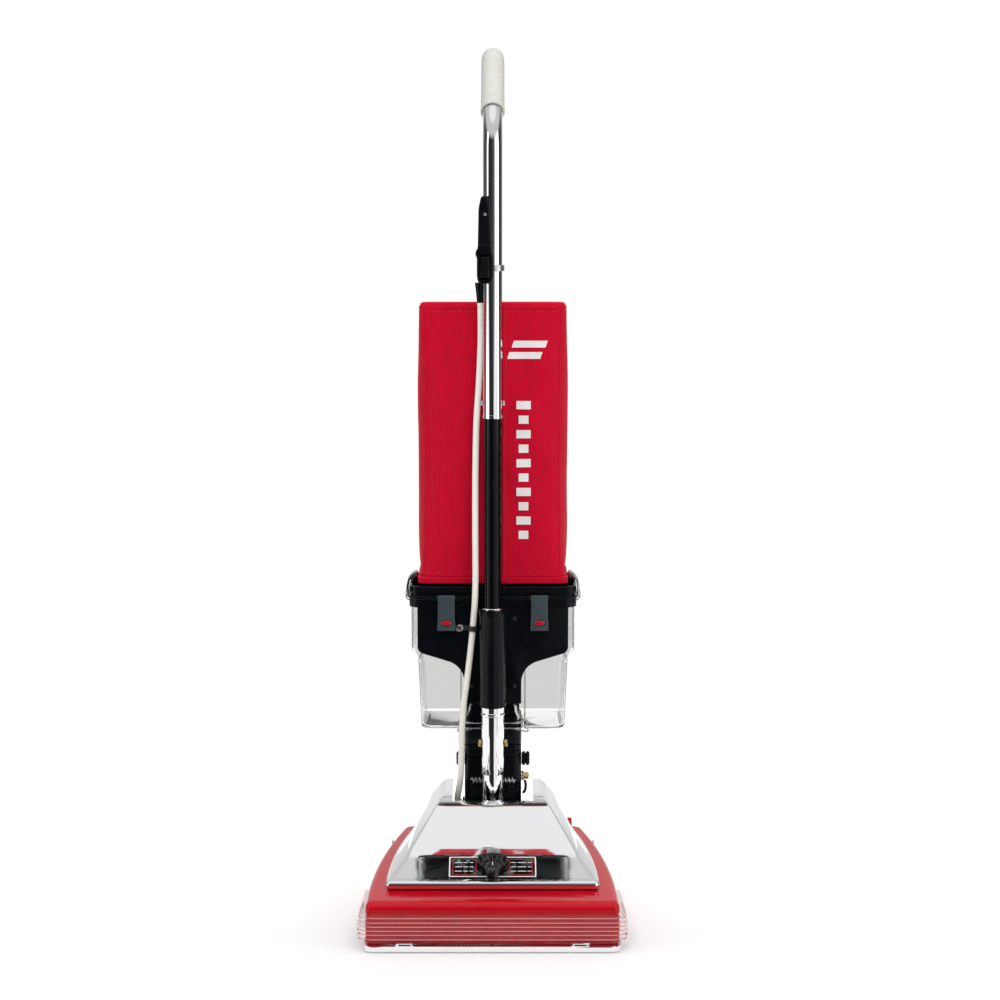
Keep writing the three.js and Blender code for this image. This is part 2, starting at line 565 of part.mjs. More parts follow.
function switchAndLead() {
  const face = rounded([
    [-18, 842], [-2, 842], [1, 850], [1, 878], [-1.4, 888], [-3.6, 940], [-7, 956], [-15, 956],
    [-18.4, 940], [-19.4, 888], [-22.4, 884], [-22.4, 879], [-20.6, 876], [-20.6, 850],
  ], 3, 2);
  const shell = cut(prism('y', face, 189, 232), rod('z', tube.upper + GAP, 800, 1000, [0, tube.y], 18));
  const pocket = box(-16.4, -3.6, 180, 200, 847.6, 880.4);
  add('switch_housing', cut(shell, pocket, box(-8, 10, 226, 240, 800, 1000)), black);
  const rocker = rounded([[187.6, 850.4], [195, 852], [195, 876], [189.6, 877.6]], 1.5, 2);
  add('switch_rocker', prism('x', rocker, -15.8, -4.2), blackGloss);

  const curve = new THREE.CatmullRomCurve3(leadRoute.map((p) => new THREE.Vector3(...p)));
  const section = new THREE.Shape(circle(leadRadius, 8).map(([a, b]) => new THREE.Vector2(a, b)));
  const options = { steps: 34, extrudePath: curve, bevelEnabled: false };
  add('power_lead', new THREE.ExtrudeGeometry(section, options), cream);
  const [clipBottom, clipTop] = [clipHeight - 3.4, clipHeight + 3.4];
  const band = join(
    rod('z', clipRing.outer, clipBottom, clipTop, [clipRing.x, clipRing.y]),
    box(-51, clipRing.x, 227.4, 229.5, clipBottom, clipTop),
  );
  const around = rod('z', clipRing.inner, 370, 390, [clipRing.x, clipRing.y]);
  const screwAt = [clipScrewX, clipHeight];
  add('lead_clip', cut(band, around, rod('y', 2.3, 220, 240, screwAt, 12)), black);
  add('clip_screw', join(rod('y', 4.2, 223.6, 227, screwAt, 6), rod('y', 2, 223.6, 236, screwAt, 10)), steel);
}

function cupFrame() {
  const rim = cut(
    prism('z', rectangle(frame.half, frame.front, frame.back, 14), frame.rimBottom, frame.rimTop),
    prism('z', rectangle(frame.half - 4, frame.front + 5, frame.back - 4, 11), frame.rimBottom + 4, 500),
    box(-82, 82, 292, 336, 400, 420),
  );
  const panelSide = [
    [frame.panelHalf, 409], [frame.panelHalf, 346], [50, 330], [neck.half, 314], [neck.half, neck.bottom],
  ];
  const mirrored = panelSide.map(([x, z]) => [-x, z]);
  const panelShape = rounded([...mirrored, ...panelSide.reverse()], [1, 6, 8, 9, 1, 1, 9, 8, 6, 1], 3);
  const panel = prism('y', panelShape, neck.front, neck.front + 4);
  const channel = cut(
    box(-neck.half, neck.half, neck.front, neck.back, neck.bottom, 409),
    box(3 - neck.half, neck.half - 3, neck.front + 4, neck.back - 3, 200, 405),
    box(-28, 28, neck.back - 5, neck.back + 5, 352, 396),
  );
  const sleeve = rod('z', 18.1, 275.6, frame.rimBottom + 1, [0, tube.y], 20);
  const lugs = [];
  for (const s of [-1, 1]) {
    for (const edge of [-1, 1]) {
      const x = s * latch.x + edge * (latch.width / 2 + 2.2);
      lugs.push(box(x - 1.6, x + 1.6, latch.pinY - 3.4, frame.front + 2, latch.pinZ - 4, latch.pinZ + 4));
    }
  }
  const pinHoles = rod('x', 1.9, -90, 90, [latch.pinY, latch.pinZ], 12);
  const whole = join(rim, panel, channel, cut(join(...lugs), pinHoles), sleeve);
  return cut(
    whole, rod('z', tube.lower + GAP, 200, 500, [0, tube.y], 18),
    box(3 - neck.half, neck.half - 3, neck.front + 4, neck.back - 3, 200, 405),
    rod('y', 2.3, 220, 240, [clipScrewX, clipHeight], 10),
  );
}

function cupAssembly() {
  add('cup_frame', cupFrame(), black);
  const windows = [-60, -20, 20, 60].map((x) => box(x - 16, x + 16, 294, 334, 400, 420));
  add('filter_screen', cut(box(-86, 86, 288, 340, 411.4, 413.4), ...windows), slate);
  for (const [side, s] of named) {
    const outline = rounded([
      [latch.pinY - 2.4, latch.top], [latch.pinY - 2.4, 381], [latch.pinY - 3.8, latch.bottom],
      [latch.pinY + 1.4, latch.bottom], [latch.pinY + 2.6, 383], [latch.pinY + 2.8, latch.top],
    ], 1, 2);
    const half = latch.width / 2;
    const leaf = prism('x', outline, s * latch.x - half, s * latch.x + half);
    const pin = rod('x', 1.5, s * latch.x - half - 3, s * latch.x + half + 3, [latch.pinY, latch.pinZ], 10);
    add(`latch_${side}`, join(leaf, pin), slate);
    const out = (x) => s * x;
    const clip = prism('y', [
      [out(113.1), 436], [out(107), 444], [out(108.4), 445.4], [out(116), 436],
      [out(118.4), 424], [out(115.4), 411], [out(113.1), 411], [out(115), 424],
    ], 284, 298);
    add(`side_clip_${side}`, clip, steel);
  }
  const ring = (half, inset, z) => atHeight(rectangle(half, cup.front + inset, cup.back - inset, 12), z);
  const outside = loft([
    ring(cup.bottomHalf - 3, 5, cup.bottom), ring(cup.bottomHalf, 2, cup.bottom + 5),
    ring(cup.bodyHalf, 0.6, 331), ring(cup.collarHalf, 0, 346), ring(cup.collarHalf, 0, cup.top),
  ]);
  const wall = 2.2;
  const inner = (half, inset, z) => ring(half - wall, inset + wall, z);
  const inside = loft([
    inner(cup.bottomHalf - 3, 5, cup.bottom + wall), inner(cup.bottomHalf, 2, cup.bottom + 6),
    inner(cup.bodyHalf, 0.6, 331), inner(cup.collarHalf, 0, 347), inner(cup.collarHalf, 0, 420),
  ]);
  const recess = (grow) => box(-42 - grow, 42 + grow, 200, 292.6 + grow, 200, 450);
  add('dust_cup', cut(cut(outside, recess(0)), cut(inside, recess(wall))), clear);
}

function ductElbow() {
  const drum = rod('x', 32, -34, 34, [pivot.y, pivot.z], 28);
  const throat = box(-34, 34, 244, 286, pivot.z, duct.bottom + 2);
  const body = prism('z', rectangle(duct.half, duct.front, duct.back, 10, 3), duct.bottom, 256);
  const collar = prism('z', rectangle(duct.half - 2.8, duct.front + 1, duct.back - 3, 8, 3), 255, duct.top);
  const hollow = join(
    rod('x', 28.5, -30.5, 30.5, [pivot.y, pivot.z], 24), rod('x', 5 + GAP, -50, 50, [pivot.y, pivot.z], 16),
    box(-30.5, 30.5, 247.5, 282.5, pivot.z, duct.bottom + 4),
    box(-33, 33, 244, 284, duct.bottom + 4, 300), box(-16, 16, 253, 271, 40, pivot.z),
  );
  add('duct_elbow', cut(join(drum, throat, body, collar), hollow), black);
  const band = cut(
    prism('z', rectangle(duct.half + 1.8, duct.front - 1.5, duct.back + 1.5, 11, 3), 238, 248),
    prism('z', rectangle(duct.half + GAP, duct.front - GAP, duct.back + GAP, 10, 3), 230, 260),
  );
  const ears = sides((s) => prism('y', [
    [s * 24, 239], [s * 47, 234.6], [s * 48, 236.4], [s * 42.4, 243],
    [s * 47.6, 250], [s * 46.4, 251.6], [s * 24, 247],
  ], duct.front - 3.4, duct.front - 0.9));
  add('duct_clamp', join(band, ...ears), steel);
  const thumbProfile = [
    [0, 0], [8, 0], [10, 2], [10, 4.4], [7.4, 5.4], [10, 6.6], [9.6, 9.4], [7, 11], [0, 11],
  ];
  const thumb = (s) => solid(
    turned(thumbProfile, 18).rotateY((s * Math.PI) / 2).translate(s * (duct.half + GAP), 252, 195),
  );
  for (const [side, s] of named) {
    add(`thumb_screw_${side}`, thumb(s), black);
  }
  const terminal = [252, 171];
  add('terminal_bolt', join(rod('x', 6.6, 39, 42, terminal, 16), rod('x', 5, 42, 49, terminal, 6)), brass);
  add('lead_grommet', rod('x', 7, -41.4, -duct.half - GAP, [256, 133.4], 12), rubber);
}

function handleSpring() {
  const turns = 9;
  const half = 29.5;
  const count = turns * 7;
  const points = Array.from({ length: count + 1 }, (_, i) => {
    const a = (i / 7) * 2 * Math.PI;
    const along = -half + (2 * half * i) / count;
    return new THREE.Vector3(along, 234.3 + 3 * Math.cos(a), 169.4 + 3 * Math.sin(a));
  });
  const section = new THREE.Shape(circle(0.85, 4).map(([a, b]) => new THREE.Vector2(a, b)));
  const curve = new THREE.CatmullRomCurve3(points);
  return new THREE.ExtrudeGeometry(section, { steps: count, extrudePath: curve, bevelEnabled: false });
}

// soft bag: waisted in front view, a wedge in side view, open into the cup frame
const bagLevels = [
  [100.6, 348, 438.4], [98, 349, 458], [95.4, 344, 520], [94.6, 333, 590], [95.6, 318, 660], [97.4, 302, 720],
  [99.4, 284, 780], [100.4, 272, 806], [99, 262, 816],
];

function dustBag() {
  const ring = ([half, back, z], inset, lowered) => {
    const corner = Math.min(16, (back - bag.front) / 3);
    return atHeight(rectangle(half - inset, bag.front + inset, back - inset, corner, 3), lowered ?? z);
  };
  const outside = loft(bagLevels.map((level) => ring(level, 0)));
  const levels = bagLevels.slice(0, -1).map((level, i) => ring(level, bag.wall, i ? undefined : 430));
  return cut(outside, loft(levels));
}

function bagHanger() {
  const wire = new THREE.CatmullRomCurve3([
    [0, 246, 819.4], [0, 241, 828], [0, 238, 838], [0, 236, 850], [0, 234, 862],
  ].map((p) => new THREE.Vector3(...p)));
  const section = new THREE.Shape(circle(3.6, 10).map(([a, b]) => new THREE.Vector2(a, b)));
  const options = { steps: 6, extrudePath: wire, bevelEnabled: false };
  const spring = solid(new THREE.ExtrudeGeometry(section, options));
  const collar = pipe('z', 15.6, tube.upper + GAP, 858, 866, [0, tube.y], 18);
  const open = [box(-30, -6.2, 180, 240, 840, 880), box(-30, 2.5, 180, 216, 840, 880)];
  return join(cut(collar, ...open), box(-3, 3, 229, 238, 859, 865), spring);
}

// ---------------------------------------------------------------- assembly
add('base_housing', baseShell(), red);
add('furniture_guard', furnitureGuard(), vinyl);
add('bottom_plate', bottomPlate(), chrome);
add('motor_hood', motorHood(), chrome);
add('hood_gasket', hoodGasket(), rubber);
add('label_plate', labelPlate(), blackGloss);
add('height_knob', heightKnob(), blackGloss);
motorUnit();
brushRoll();
add('drive_belt', driveBelt(), rubber);
underside();
handleTubes();
switchAndLead();
cupAssembly();
ductElbow();
add('handle_spring', handleSpring(), steel);
add('dust_bag', dustBag(), redCloth);
add('bag_hanger', bagHanger(), steel);

export default root;
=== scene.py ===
"""The looks of a commercial upright vacuum cleaner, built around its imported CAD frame.

Pieces are laid out in millimetres in the CAD's own lengthwise measure: y counts back from the
front of the furniture guard. place() turns them into the frame's metres.
"""
import json
import math
import random

import bmesh
import bpy
from mathutils import Matrix, Vector
from mathutils.bvhtree import BVHTree


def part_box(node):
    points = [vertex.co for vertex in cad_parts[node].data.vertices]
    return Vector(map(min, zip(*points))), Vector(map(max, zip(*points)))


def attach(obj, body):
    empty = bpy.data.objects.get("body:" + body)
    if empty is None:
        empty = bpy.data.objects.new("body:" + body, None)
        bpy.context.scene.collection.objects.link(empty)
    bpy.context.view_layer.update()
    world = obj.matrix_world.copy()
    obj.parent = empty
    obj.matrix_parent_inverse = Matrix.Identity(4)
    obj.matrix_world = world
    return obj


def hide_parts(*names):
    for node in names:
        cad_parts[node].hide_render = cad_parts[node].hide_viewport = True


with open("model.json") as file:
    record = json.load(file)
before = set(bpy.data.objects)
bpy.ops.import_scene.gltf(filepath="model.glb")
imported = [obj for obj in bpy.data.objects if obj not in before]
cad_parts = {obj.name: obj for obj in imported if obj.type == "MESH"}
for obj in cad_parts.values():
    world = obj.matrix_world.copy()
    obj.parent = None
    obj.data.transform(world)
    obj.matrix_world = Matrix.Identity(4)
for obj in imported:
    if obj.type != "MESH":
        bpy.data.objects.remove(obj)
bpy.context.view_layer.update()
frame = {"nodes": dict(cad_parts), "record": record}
RECORD = frame["record"]
SLOT = {part["node"]: part["material_slot"] for part in RECORD["subparts"]}
BODY = {node: body for body, nodes in RECORD["behaviour"]["bodies"].items() for node in nodes}

MM = 0.001
GAP = 0.3
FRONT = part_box("furniture_guard")[0].y / MM - 0.5
random.seed(7)


# ---------------------------------------------------------------- mesh helpers
def place(points):
    return [Vector((x, y + FRONT, z)) * MM for x, y, z in points]


def link(name, data):
    obj = bpy.data.objects.new(name, data)
    bpy.context.scene.collection.objects.link(obj)
    return obj


def finish_shading(obj, angle=35):
    obj.data.shade_smooth()
    obj.data.set_sharp_from_angle(angle=math.radians(angle))
    return obj


def make(points, faces, at=None):
    """A new mesh from points in millimetres; at is a matrix from the shape's own space to the script's."""
    if at is not None:
        points = [at @ Vector(p) for p in points]
    mesh = bpy.data.meshes.new("shape")
    mesh.from_pydata(place(points), [], faces)
    mesh.validate()
    obj = link("shape", mesh)
    face_out(obj)
    return finish_shading(obj)


def face_out(obj):
    bm = bmesh.new()
    bm.from_mesh(obj.data)
    bmesh.ops.remove_doubles(bm, verts=bm.verts, dist=1e-6)
    bmesh.ops.recalc_face_normals(bm, faces=bm.faces)
    bm.to_mesh(obj.data)
    bm.free()


def baked(obj):
    graph = bpy.context.evaluated_depsgraph_get()
    mesh = bpy.data.meshes.new_from_object(obj.evaluated_get(graph))
    obj.modifiers.clear()
    obj.data = mesh
    return obj


def boolean(obj, operation, tools):
    for tool in tools:
        modifier = obj.modifiers.new("boolean", "BOOLEAN")
        modifier.object = tool
        modifier.operation = operation
        modifier.solver = "EXACT"
    baked(obj)
    for tool in tools:
        bpy.data.objects.remove(tool)
    return finish_shading(obj)


def cut(obj, *tools):
    return boolean(obj, "DIFFERENCE", tools)


def join(obj, *others):
    return boolean(obj, "UNION", others)


def group(objects):
    """One object that holds several separate solids."""
    bm = bmesh.new()
    for obj in objects:
        bm.from_mesh(obj.data)
        bpy.data.objects.remove(obj)
    mesh = bpy.data.meshes.new("group")
    bm.to_mesh(mesh)
    bm.free()
    return finish_shading(link("group", mesh))


def bevel(obj, width, segments=2, angle=40):
    modifier = obj.modifiers.new("bevel", "BEVEL")
    modifier.width = width * MM
    modifier.segments = segments
    modifier.limit_method = "ANGLE"
    modifier.angle_limit = math.radians(angle)
    return finish_shading(baked(obj))


def fillet(corners, radius, steps=8):
    """A polygon with each corner rounded; radius is one number or one for each corner."""
    points = []
    for i, corner in enumerate(corners):
        here = Vector(corner)
        before = Vector(corners[i - 1]) - here
        after = Vector(corners[(i + 1) % len(corners)]) - here
        wanted = radius[i] if isinstance(radius, (list, tuple)) else radius
        if wanted == 0:
            points.append(here)
            continue
        reach = min(wanted, 0.46 * before.length, 0.46 * after.length)
        start = here + before.normalized() * reach
        end = here + after.normalized() * reach
        first, second = start.lerp(here, 0.552), end.lerp(here, 0.552)
        for k in range(steps + 1):
            t = k / steps
            r = 1 - t
            points.append(start * r**3 + first * 3 * t * r * r + second * 3 * t * t * r + end * t**3)
    return [tuple(p) for p in points]


def shrunk(corners, inset):
    """The corners of a polygon with every edge moved inwards."""
    area = sum(a[0] * b[1] - b[0] * a[1] for a, b in zip(corners, [*corners[1:], corners[0]]))
    turn = 1 if area > 0 else -1
    result = []
    for i, corner in enumerate(corners):
        here = Vector(corner)
        first = (here - Vector(corners[i - 1])).normalized()
        second = (Vector(corners[(i + 1) % len(corners)]) - here).normalized()
        inward = [Vector((-d.y, d.x)) * turn for d in (first, second)]
        result.append(here + (inward[0] + inward[1]) * inset / (1 + inward[0].dot(inward[1])))
    return result


def soften(path, reach, steps):
    """An open path of vectors of any length with its inner corners rounded."""
    path = [Vector(p) for p in path]
    result = [path[0]]
    for before, here, after in zip(path, path[1:], path[2:]):
        near = min(reach, 0.45 * (before - here).length)
        far = min(reach, 0.45 * (after - here).length)
        start = here + (before - here).normalized() * near
        end = here + (after - here).normalized() * far
        for k in range(steps + 1):
            t = k / steps
            result.append(start * (1 - t) ** 2 + here * 2 * t * (1 - t) + end * t * t)
    return result + [path[-1]]


def four(x0, x1, y0, y1):
    """The corners of a rectangle, in order round it."""
    return [(x0, y0), (x1, y0), (x1, y1), (x0, y1)]


def rectangle(half, front, back, radius, steps=8):
    return fillet(four(-half, half, front, back), radius, steps)


def at_height(outline, z):
    return [(x, y, z(y) if callable(z) else z) for x, y in outline]


def loft(rings, at=None, closed=False):
    """Quads between rings of equal count; closed joins the last ring to the first."""
    count = len(rings[0])
    points = [p for ring in rings for p in ring]
    faces = []
    for k in range(len(rings) if closed else len(rings) - 1):
        low, high = k * count, (k + 1) % len(rings) * count
        for i in range(count):
            j = (i + 1) % count
            faces.append((low + i, low + j, high + j, high + i))
    if not closed:
        faces.append(tuple(reversed(range(count))))
        faces.append(tuple(range((len(rings) - 1) * count, len(rings) * count)))
    return make(points, faces, at)


# how a point of an outline and its height along an axis become x, y and z
ORDER = {
    "x": lambda a, b, height: (height, a, b),
    "y": lambda a, b, height: (a, height, b),
    "z": lambda a, b, height: (a, b, height),
}


def prism(axis, outline, start, end, at=None):
    return loft([[ORDER[axis](a, b, height) for a, b in outline] for height in (start, end)], at)


def pillow(axis, corners, radius, start, end, edge, steps=8):
    """A prism with rounded corners and both of its rims rounded over."""
    angles = [k * math.pi / 8 for k in range(5)]
    quarter = [(edge * (1 - math.sin(angle)), edge * (1 - math.cos(angle))) for angle in angles]
    levels = [(inset, start + rise) for inset, rise in quarter]
    levels += [(inset, end - rise) for inset, rise in reversed(quarter)]
    return loft([[ORDER[axis](a, b, height) for a, b in fillet(shrunk(corners, inset), radius, steps)]
                 for inset, height in levels])


def block(x0, x1, y0, y1, z0, z1):
    return prism("z", four(x0, x1, y0, y1), z0, z1)


AXES = {
    "x": Matrix(((0, 0, 1), (1, 0, 0), (0, 1, 0))).to_4x4(),
    "y": Matrix(((1, 0, 0), (0, 0, 1), (0, -1, 0))).to_4x4(),
    "z": Matrix.Identity(4),
}


def along(axis, x, y, z):
    return Matrix.Translation((x, y, z)) @ AXES[axis]


def turned(centre, angle, axis="X"):
    return Matrix.Translation(centre) @ Matrix.Rotation(angle, 4, axis)


def lathe(profile, at, count=64, closed=False, flute=None):
    """Profile of (radius, height) turned about its own Z; flute is (number, depth, smallest radius)."""
    rings = []
    for radius, height in profile:
        ring = []
        for i in range(count):
            angle = 2 * math.pi * i / count
            r = max(radius, 1e-4)
            if flute and radius >= flute[2]:
                r -= flute[1] * (0.5 - 0.5 * math.cos(flute[0] * angle))
            ring.append((r * math.cos(angle), r * math.sin(angle), height))
        rings.append(ring)
    return loft(rings, at, closed)


def rod(axis, radius, start, end, a, b, count=48):
    """A plain cylinder along an axis; a and b are its other two coordinates, in x, y, z order."""
    return lathe([(radius, start), (radius, end)], along(axis, *ORDER[axis](a, b, 0)), count)


def pipe(outer, inner, low, high, chamfer=0.4, x=0, y=None, count=96):
    """An upright pipe with chamfered ends, on the handle tube's axis unless x and y say otherwise."""
    c = chamfer
    profile = [(inner, low + c), (inner + c, low), (outer - c, low), (outer, low + c),
               (outer, high - c), (outer - c, high), (inner + c, high), (inner, high - c)]
    return lathe(profile, along("z", x, TUBE_Y if y is None else y, 0), count, closed=True)


def spline(points, steps):
    """Points along a Catmull-Rom curve through the given ones."""
    points = [Vector(p) for p in points]
    ends = [2 * points[0] - points[1], *points, 2 * points[-1] - points[-2]]
    result = []
    for a, b, c, d in zip(ends, ends[1:], ends[2:], ends[3:]):
        for k in range(steps):
            t = k / steps
            result.append(0.5 * (2 * b + (c - a) * t + (2 * a - 5 * b + 4 * c - d) * t * t
                                 + (3 * b - a - 3 * c + d) * t**3))
    return result + [points[-1]]


def sweep(path, radius, sides, inner=None, flat=1.0):
    """A round bar along a path; radius is a number or a function of the share of the path."""
    path = [Vector(p) for p in path]
    tangent = (path[1] - path[0]).normalized()
    normal = tangent.orthogonal().normalized()
    outer_rings, inner_rings = [], []
    for i, here in enumerate(path):
        ahead = path[min(i + 1, len(path) - 1)] - path[max(i - 1, 0)]
        turn = tangent.rotation_difference(ahead.normalized())
        tangent = ahead.normalized()
        normal = (turn @ normal).normalized()
        side = tangent.cross(normal)
        r = radius(i / (len(path) - 1)) if callable(radius) else radius
        angles = [2 * math.pi * k / sides for k in range(sides)]
        outer_rings.append([here + normal * r * math.cos(a) + side * flat * r * math.sin(a) for a in angles])
        if inner:
            inner_rings.append([here + normal * inner * math.cos(a) + side * inner * math.sin(a)
                                for a in angles])
    if inner:
        return loft(outer_rings + inner_rings[::-1], closed=True)
    return loft(outer_rings)


def refine(node, width):
    """A CAD solid with its flat faces merged and its edges broken."""
    source = frame["nodes"][node]
    bm = bmesh.new()
    bm.from_mesh(source.data)
    bmesh.ops.remove_doubles(bm, verts=bm.verts, dist=1e-6)
    bmesh.ops.dissolve_limit(bm, angle_limit=math.radians(1), verts=bm.verts, edges=bm.edges)
    mesh = bpy.data.meshes.new(node + "_finished")
    bm.to_mesh(mesh)
    bm.free()
    return bevel(link(node + "_finished", mesh), width)


def coil(turns, steps, at):
    """The points of a spring; at gives one for its share of the length and its angle."""
    return [at(i / (turns * steps), 2 * math.pi * i / steps) for i in range(turns * steps + 1)]


# ---------------------------------------------------------------- materials
class Graph:
    """The nodes of a material or of the world. A helper adds one node and returns its output."""

    def __init__(self, owner):
        owner.use_nodes = True
        self.nodes, self.links = owner.node_tree.nodes, owner.node_tree.links

    def feed(self, socket, value):
        if isinstance(value, bpy.types.NodeSocket):
            self.links.new(value, socket)
        else:
            socket.default_value = value

    def node(self, kind, inputs, **settings):
        """A node with its settings; each input takes a plain value or another node's output."""
        node = self.nodes.new("ShaderNode" + kind)
        for name, value in settings.items():
            setattr(node, name, value)
        for name, value in inputs.items():
            self.feed(node.inputs[name], value)
        return node

    def coordinate(self, space):
        return self.node("TexCoord", {}).outputs[space]

    def split(self, vector):
        return self.node("SeparateXYZ", {0: vector}).outputs

    def math(self, operation, first, second):
        return self.node("Math", {0: first, 1: second}, operation=operation).outputs[0]

    def ranged(self, value, low, high, source=(0.3, 0.7)):
        return self.node("MapRange", {"From Min": source[0], "From Max": source[1], "To Min": low,
                                      "To Max": high, "Value": value}).outputs[0]

    def mix(self, factor, first, second):
        inputs = {"Factor": factor, "A": first, "B": second}
        return self.node("Mix", inputs, data_type="RGBA").outputs["Result"]


class Finish(Graph):
    """A Principled material whose detail is procedural, in object coordinates."""

    def __init__(self, name, color, roughness, **sockets):
        self.material = bpy.data.materials.new(name)
        super().__init__(self.material)
        self.color = color
        self.shader = self.nodes["Principled BSDF"].inputs
        self.shader["Base Color"].default_value = (*color, 1)
        self.shader["Roughness"].default_value = roughness
        for socket, value in sockets.items():
            self.shader[socket.replace("_", " ")].default_value = value
        self.where = self.coordinate("Object")

    def stretched(self, *scale):
        return self.node("Mapping", {"Scale": scale, "Vector": self.where}).outputs["Vector"]

    def noise(self, scale, detail=3.0, where=None):
        inputs = {"Scale": scale, "Detail": detail, "Vector": where or self.where}
        return self.node("TexNoise", inputs).outputs["Fac"]

    def wave(self, direction, scale, distortion, where=None):
        inputs = {"Scale": scale, "Distortion": distortion, "Vector": where or self.where}
        return self.node("TexWave", inputs, bands_direction=direction).outputs["Fac"]

    def mottle(self, factor, dark, light):
        first = (*[c * dark for c in self.color], 1)
        second = (*[min(1, c * light) for c in self.color], 1)
        self.feed(self.shader["Base Color"], self.mix(factor, first, second))

    def rough(self, factor, low, high):
        self.feed(self.shader["Roughness"], self.ranged(factor, low, high))

    def bump(self, height, strength, distance=0.0004):
        inputs = {"Strength": strength, "Distance": distance, "Height": height}
        self.feed(self.shader["Normal"], self.node("Bump", inputs).outputs["Normal"])


def noisy(name, color, roughness, mottle, rough, bump=None, detail=3.0, **sockets):
    """A finish of three noises, each led by its scale: uneven colour, uneven polish and fine bumps."""
    finish = Finish(name, color, roughness, **sockets)
    finish.mottle(finish.noise(mottle[0]), *mottle[1:])
    finish.rough(finish.noise(rough[0], detail), *rough[1:])
    if bump:
        finish.bump(finish.noise(bump[0]), bump[1])
    return finish.material


def red_cloth():
    """Plain weave: two crossing sets of yarns, with uneven dye and a soft sheen."""
    f = Finish("red_cloth", (0.66, 0.0015, 0.028), 0.72, Sheen_Weight=0.2, Sheen_Roughness=0.38,
               Sheen_Tint=(1.0, 0.42, 0.3, 1), Specular_IOR_Level=0.15)
    warp = f.wave("DIAGONAL", 200, 0.6, f.stretched(1, 1, 0))
    weave = f.math("MULTIPLY", warp, f.wave("Z", 250, 0.6))
    slub = f.noise(1, 4, f.stretched(260, 260, 60))
    f.mottle(f.math("ADD", f.math("MULTIPLY", weave, 0.4), f.math("MULTIPLY", slub, 0.6)), 0.62, 1.25)
    f.rough(slub, 0.6, 0.85)
    f.bump(f.math("ADD", weave, f.math("MULTIPLY", slub, 0.7)), 0.55, 0.0005)
    return f.material


def roll_metal():
    f = Finish("roll_metal", (0.55, 0.55, 0.56), 0.35, Metallic=1.0)
    f.mottle(f.noise(50), 0.85, 1.08)
    f.rough(f.noise(1, 3, f.stretched(900, 40, 40)), 0.25, 0.5)
    return f.material


def motor_iron():
    f = Finish("motor_iron", (0.4, 0.19, 0.09), 0.4, Metallic=0.85)
    turns = f.wave("Z", 300, 0.4)
    f.mottle(turns, 0.6, 1.2)
    f.rough(f.noise(80), 0.3, 0.55)
    f.bump(turns, 0.4)
    return f.material


def plain_print(name, color, roughness=0.45):
    return noisy(name, color, roughness, (160, 0.92, 1.04), (240, roughness - 0.08, roughness + 0.1))


NOISY = (  # name, colour, roughness, mottle, rough, bump, further settings
    ("red_shell", (0.5, 0.0025, 0.012), 0.16, (9, 0.9, 1.06), (55, 0.09, 0.2), (700, 0.05),
     {"Coat_Weight": 0.12, "Coat_Roughness": 0.05, "Specular_IOR_Level": 0.25}),
    ("chrome", (0.9, 0.905, 0.915), 0.04, (5, 0.97, 1.03), (26, 0.025, 0.085), (420, 0.012),
     {"detail": 6, "Metallic": 1.0}),
    ("guard_vinyl", (0.99, 0.84, 0.83), 0.06, (14, 0.95, 1.02), (60, 0.06, 0.2), (300, 0.05),
     {"Transmission_Weight": 1.0, "IOR": 1.1, "Coat_Weight": 0.4, "Coat_Roughness": 0.04}),
    ("steel", (0.62, 0.62, 0.61), 0.3, (90, 0.85, 1.1), (200, 0.2, 0.42), (900, 0.06), {"Metallic": 1.0}),
    ("brass", (0.76, 0.6, 0.3), 0.25, (160, 0.8, 1.1), (300, 0.16, 0.4), (900, 0.06), {"Metallic": 1.0}),
    ("black_plastic", (0.003, 0.0038, 0.0052), 0.16, (40, 0.7, 1.5), (90, 0.14, 0.3), (1300, 0.05),
     {"detail": 5, "Specular_IOR_Level": 0.14}),
    ("black_gloss", (0.004, 0.0042, 0.0055), 0.08, (40, 0.7, 1.4), (70, 0.05, 0.14), (900, 0.02),
     {"Coat_Weight": 0.2, "Coat_Roughness": 0.03}),
    ("black_tube", (0.0025, 0.0028, 0.0038), 0.07, (30, 0.8, 1.3), (120, 0.05, 0.13), (700, 0.02),
     {"detail": 5, "Specular_IOR_Level": 0.16}),
    ("slate_plastic", (0.034, 0.05, 0.058), 0.5, (60, 0.8, 1.2), (150, 0.42, 0.6), (2200, 0.2), {}),
    ("clear_plastic", (0.9, 0.9, 0.895), 0.03, (6, 0.985, 1.01), (30, 0.015, 0.09), None,
     {"detail": 6, "Transmission_Weight": 1.0, "IOR": 1.3}),
    ("cream_grip", (0.6, 0.595, 0.55), 0.42, (34, 0.94, 1.04), (90, 0.36, 0.52), (1500, 0.14),
     {"Subsurface_Weight": 0.08, "Subsurface_Scale": 0.01}),
    ("lead_jacket", (0.98, 0.95, 0.87), 0.36, (30, 0.93, 1.04), (80, 0.3, 0.46), (900, 0.08), {}),
    ("black_rubber", (0.016, 0.016, 0.016), 0.65, (60, 0.7, 1.5), (120, 0.5, 0.8), (1200, 0.25), {}),
    ("black_steel", (0.02, 0.02, 0.023), 0.4, (60, 0.7, 1.5), (120, 0.3, 0.55), (900, 0.12),
     {"Metallic": 0.3}),
)
MATERIALS = {name: noisy(name, *values, **more) for name, *values, more in NOISY}
MATERIALS |= {"red_cloth": red_cloth(), "roll_metal": roll_metal(), "motor_iron": motor_iron()}
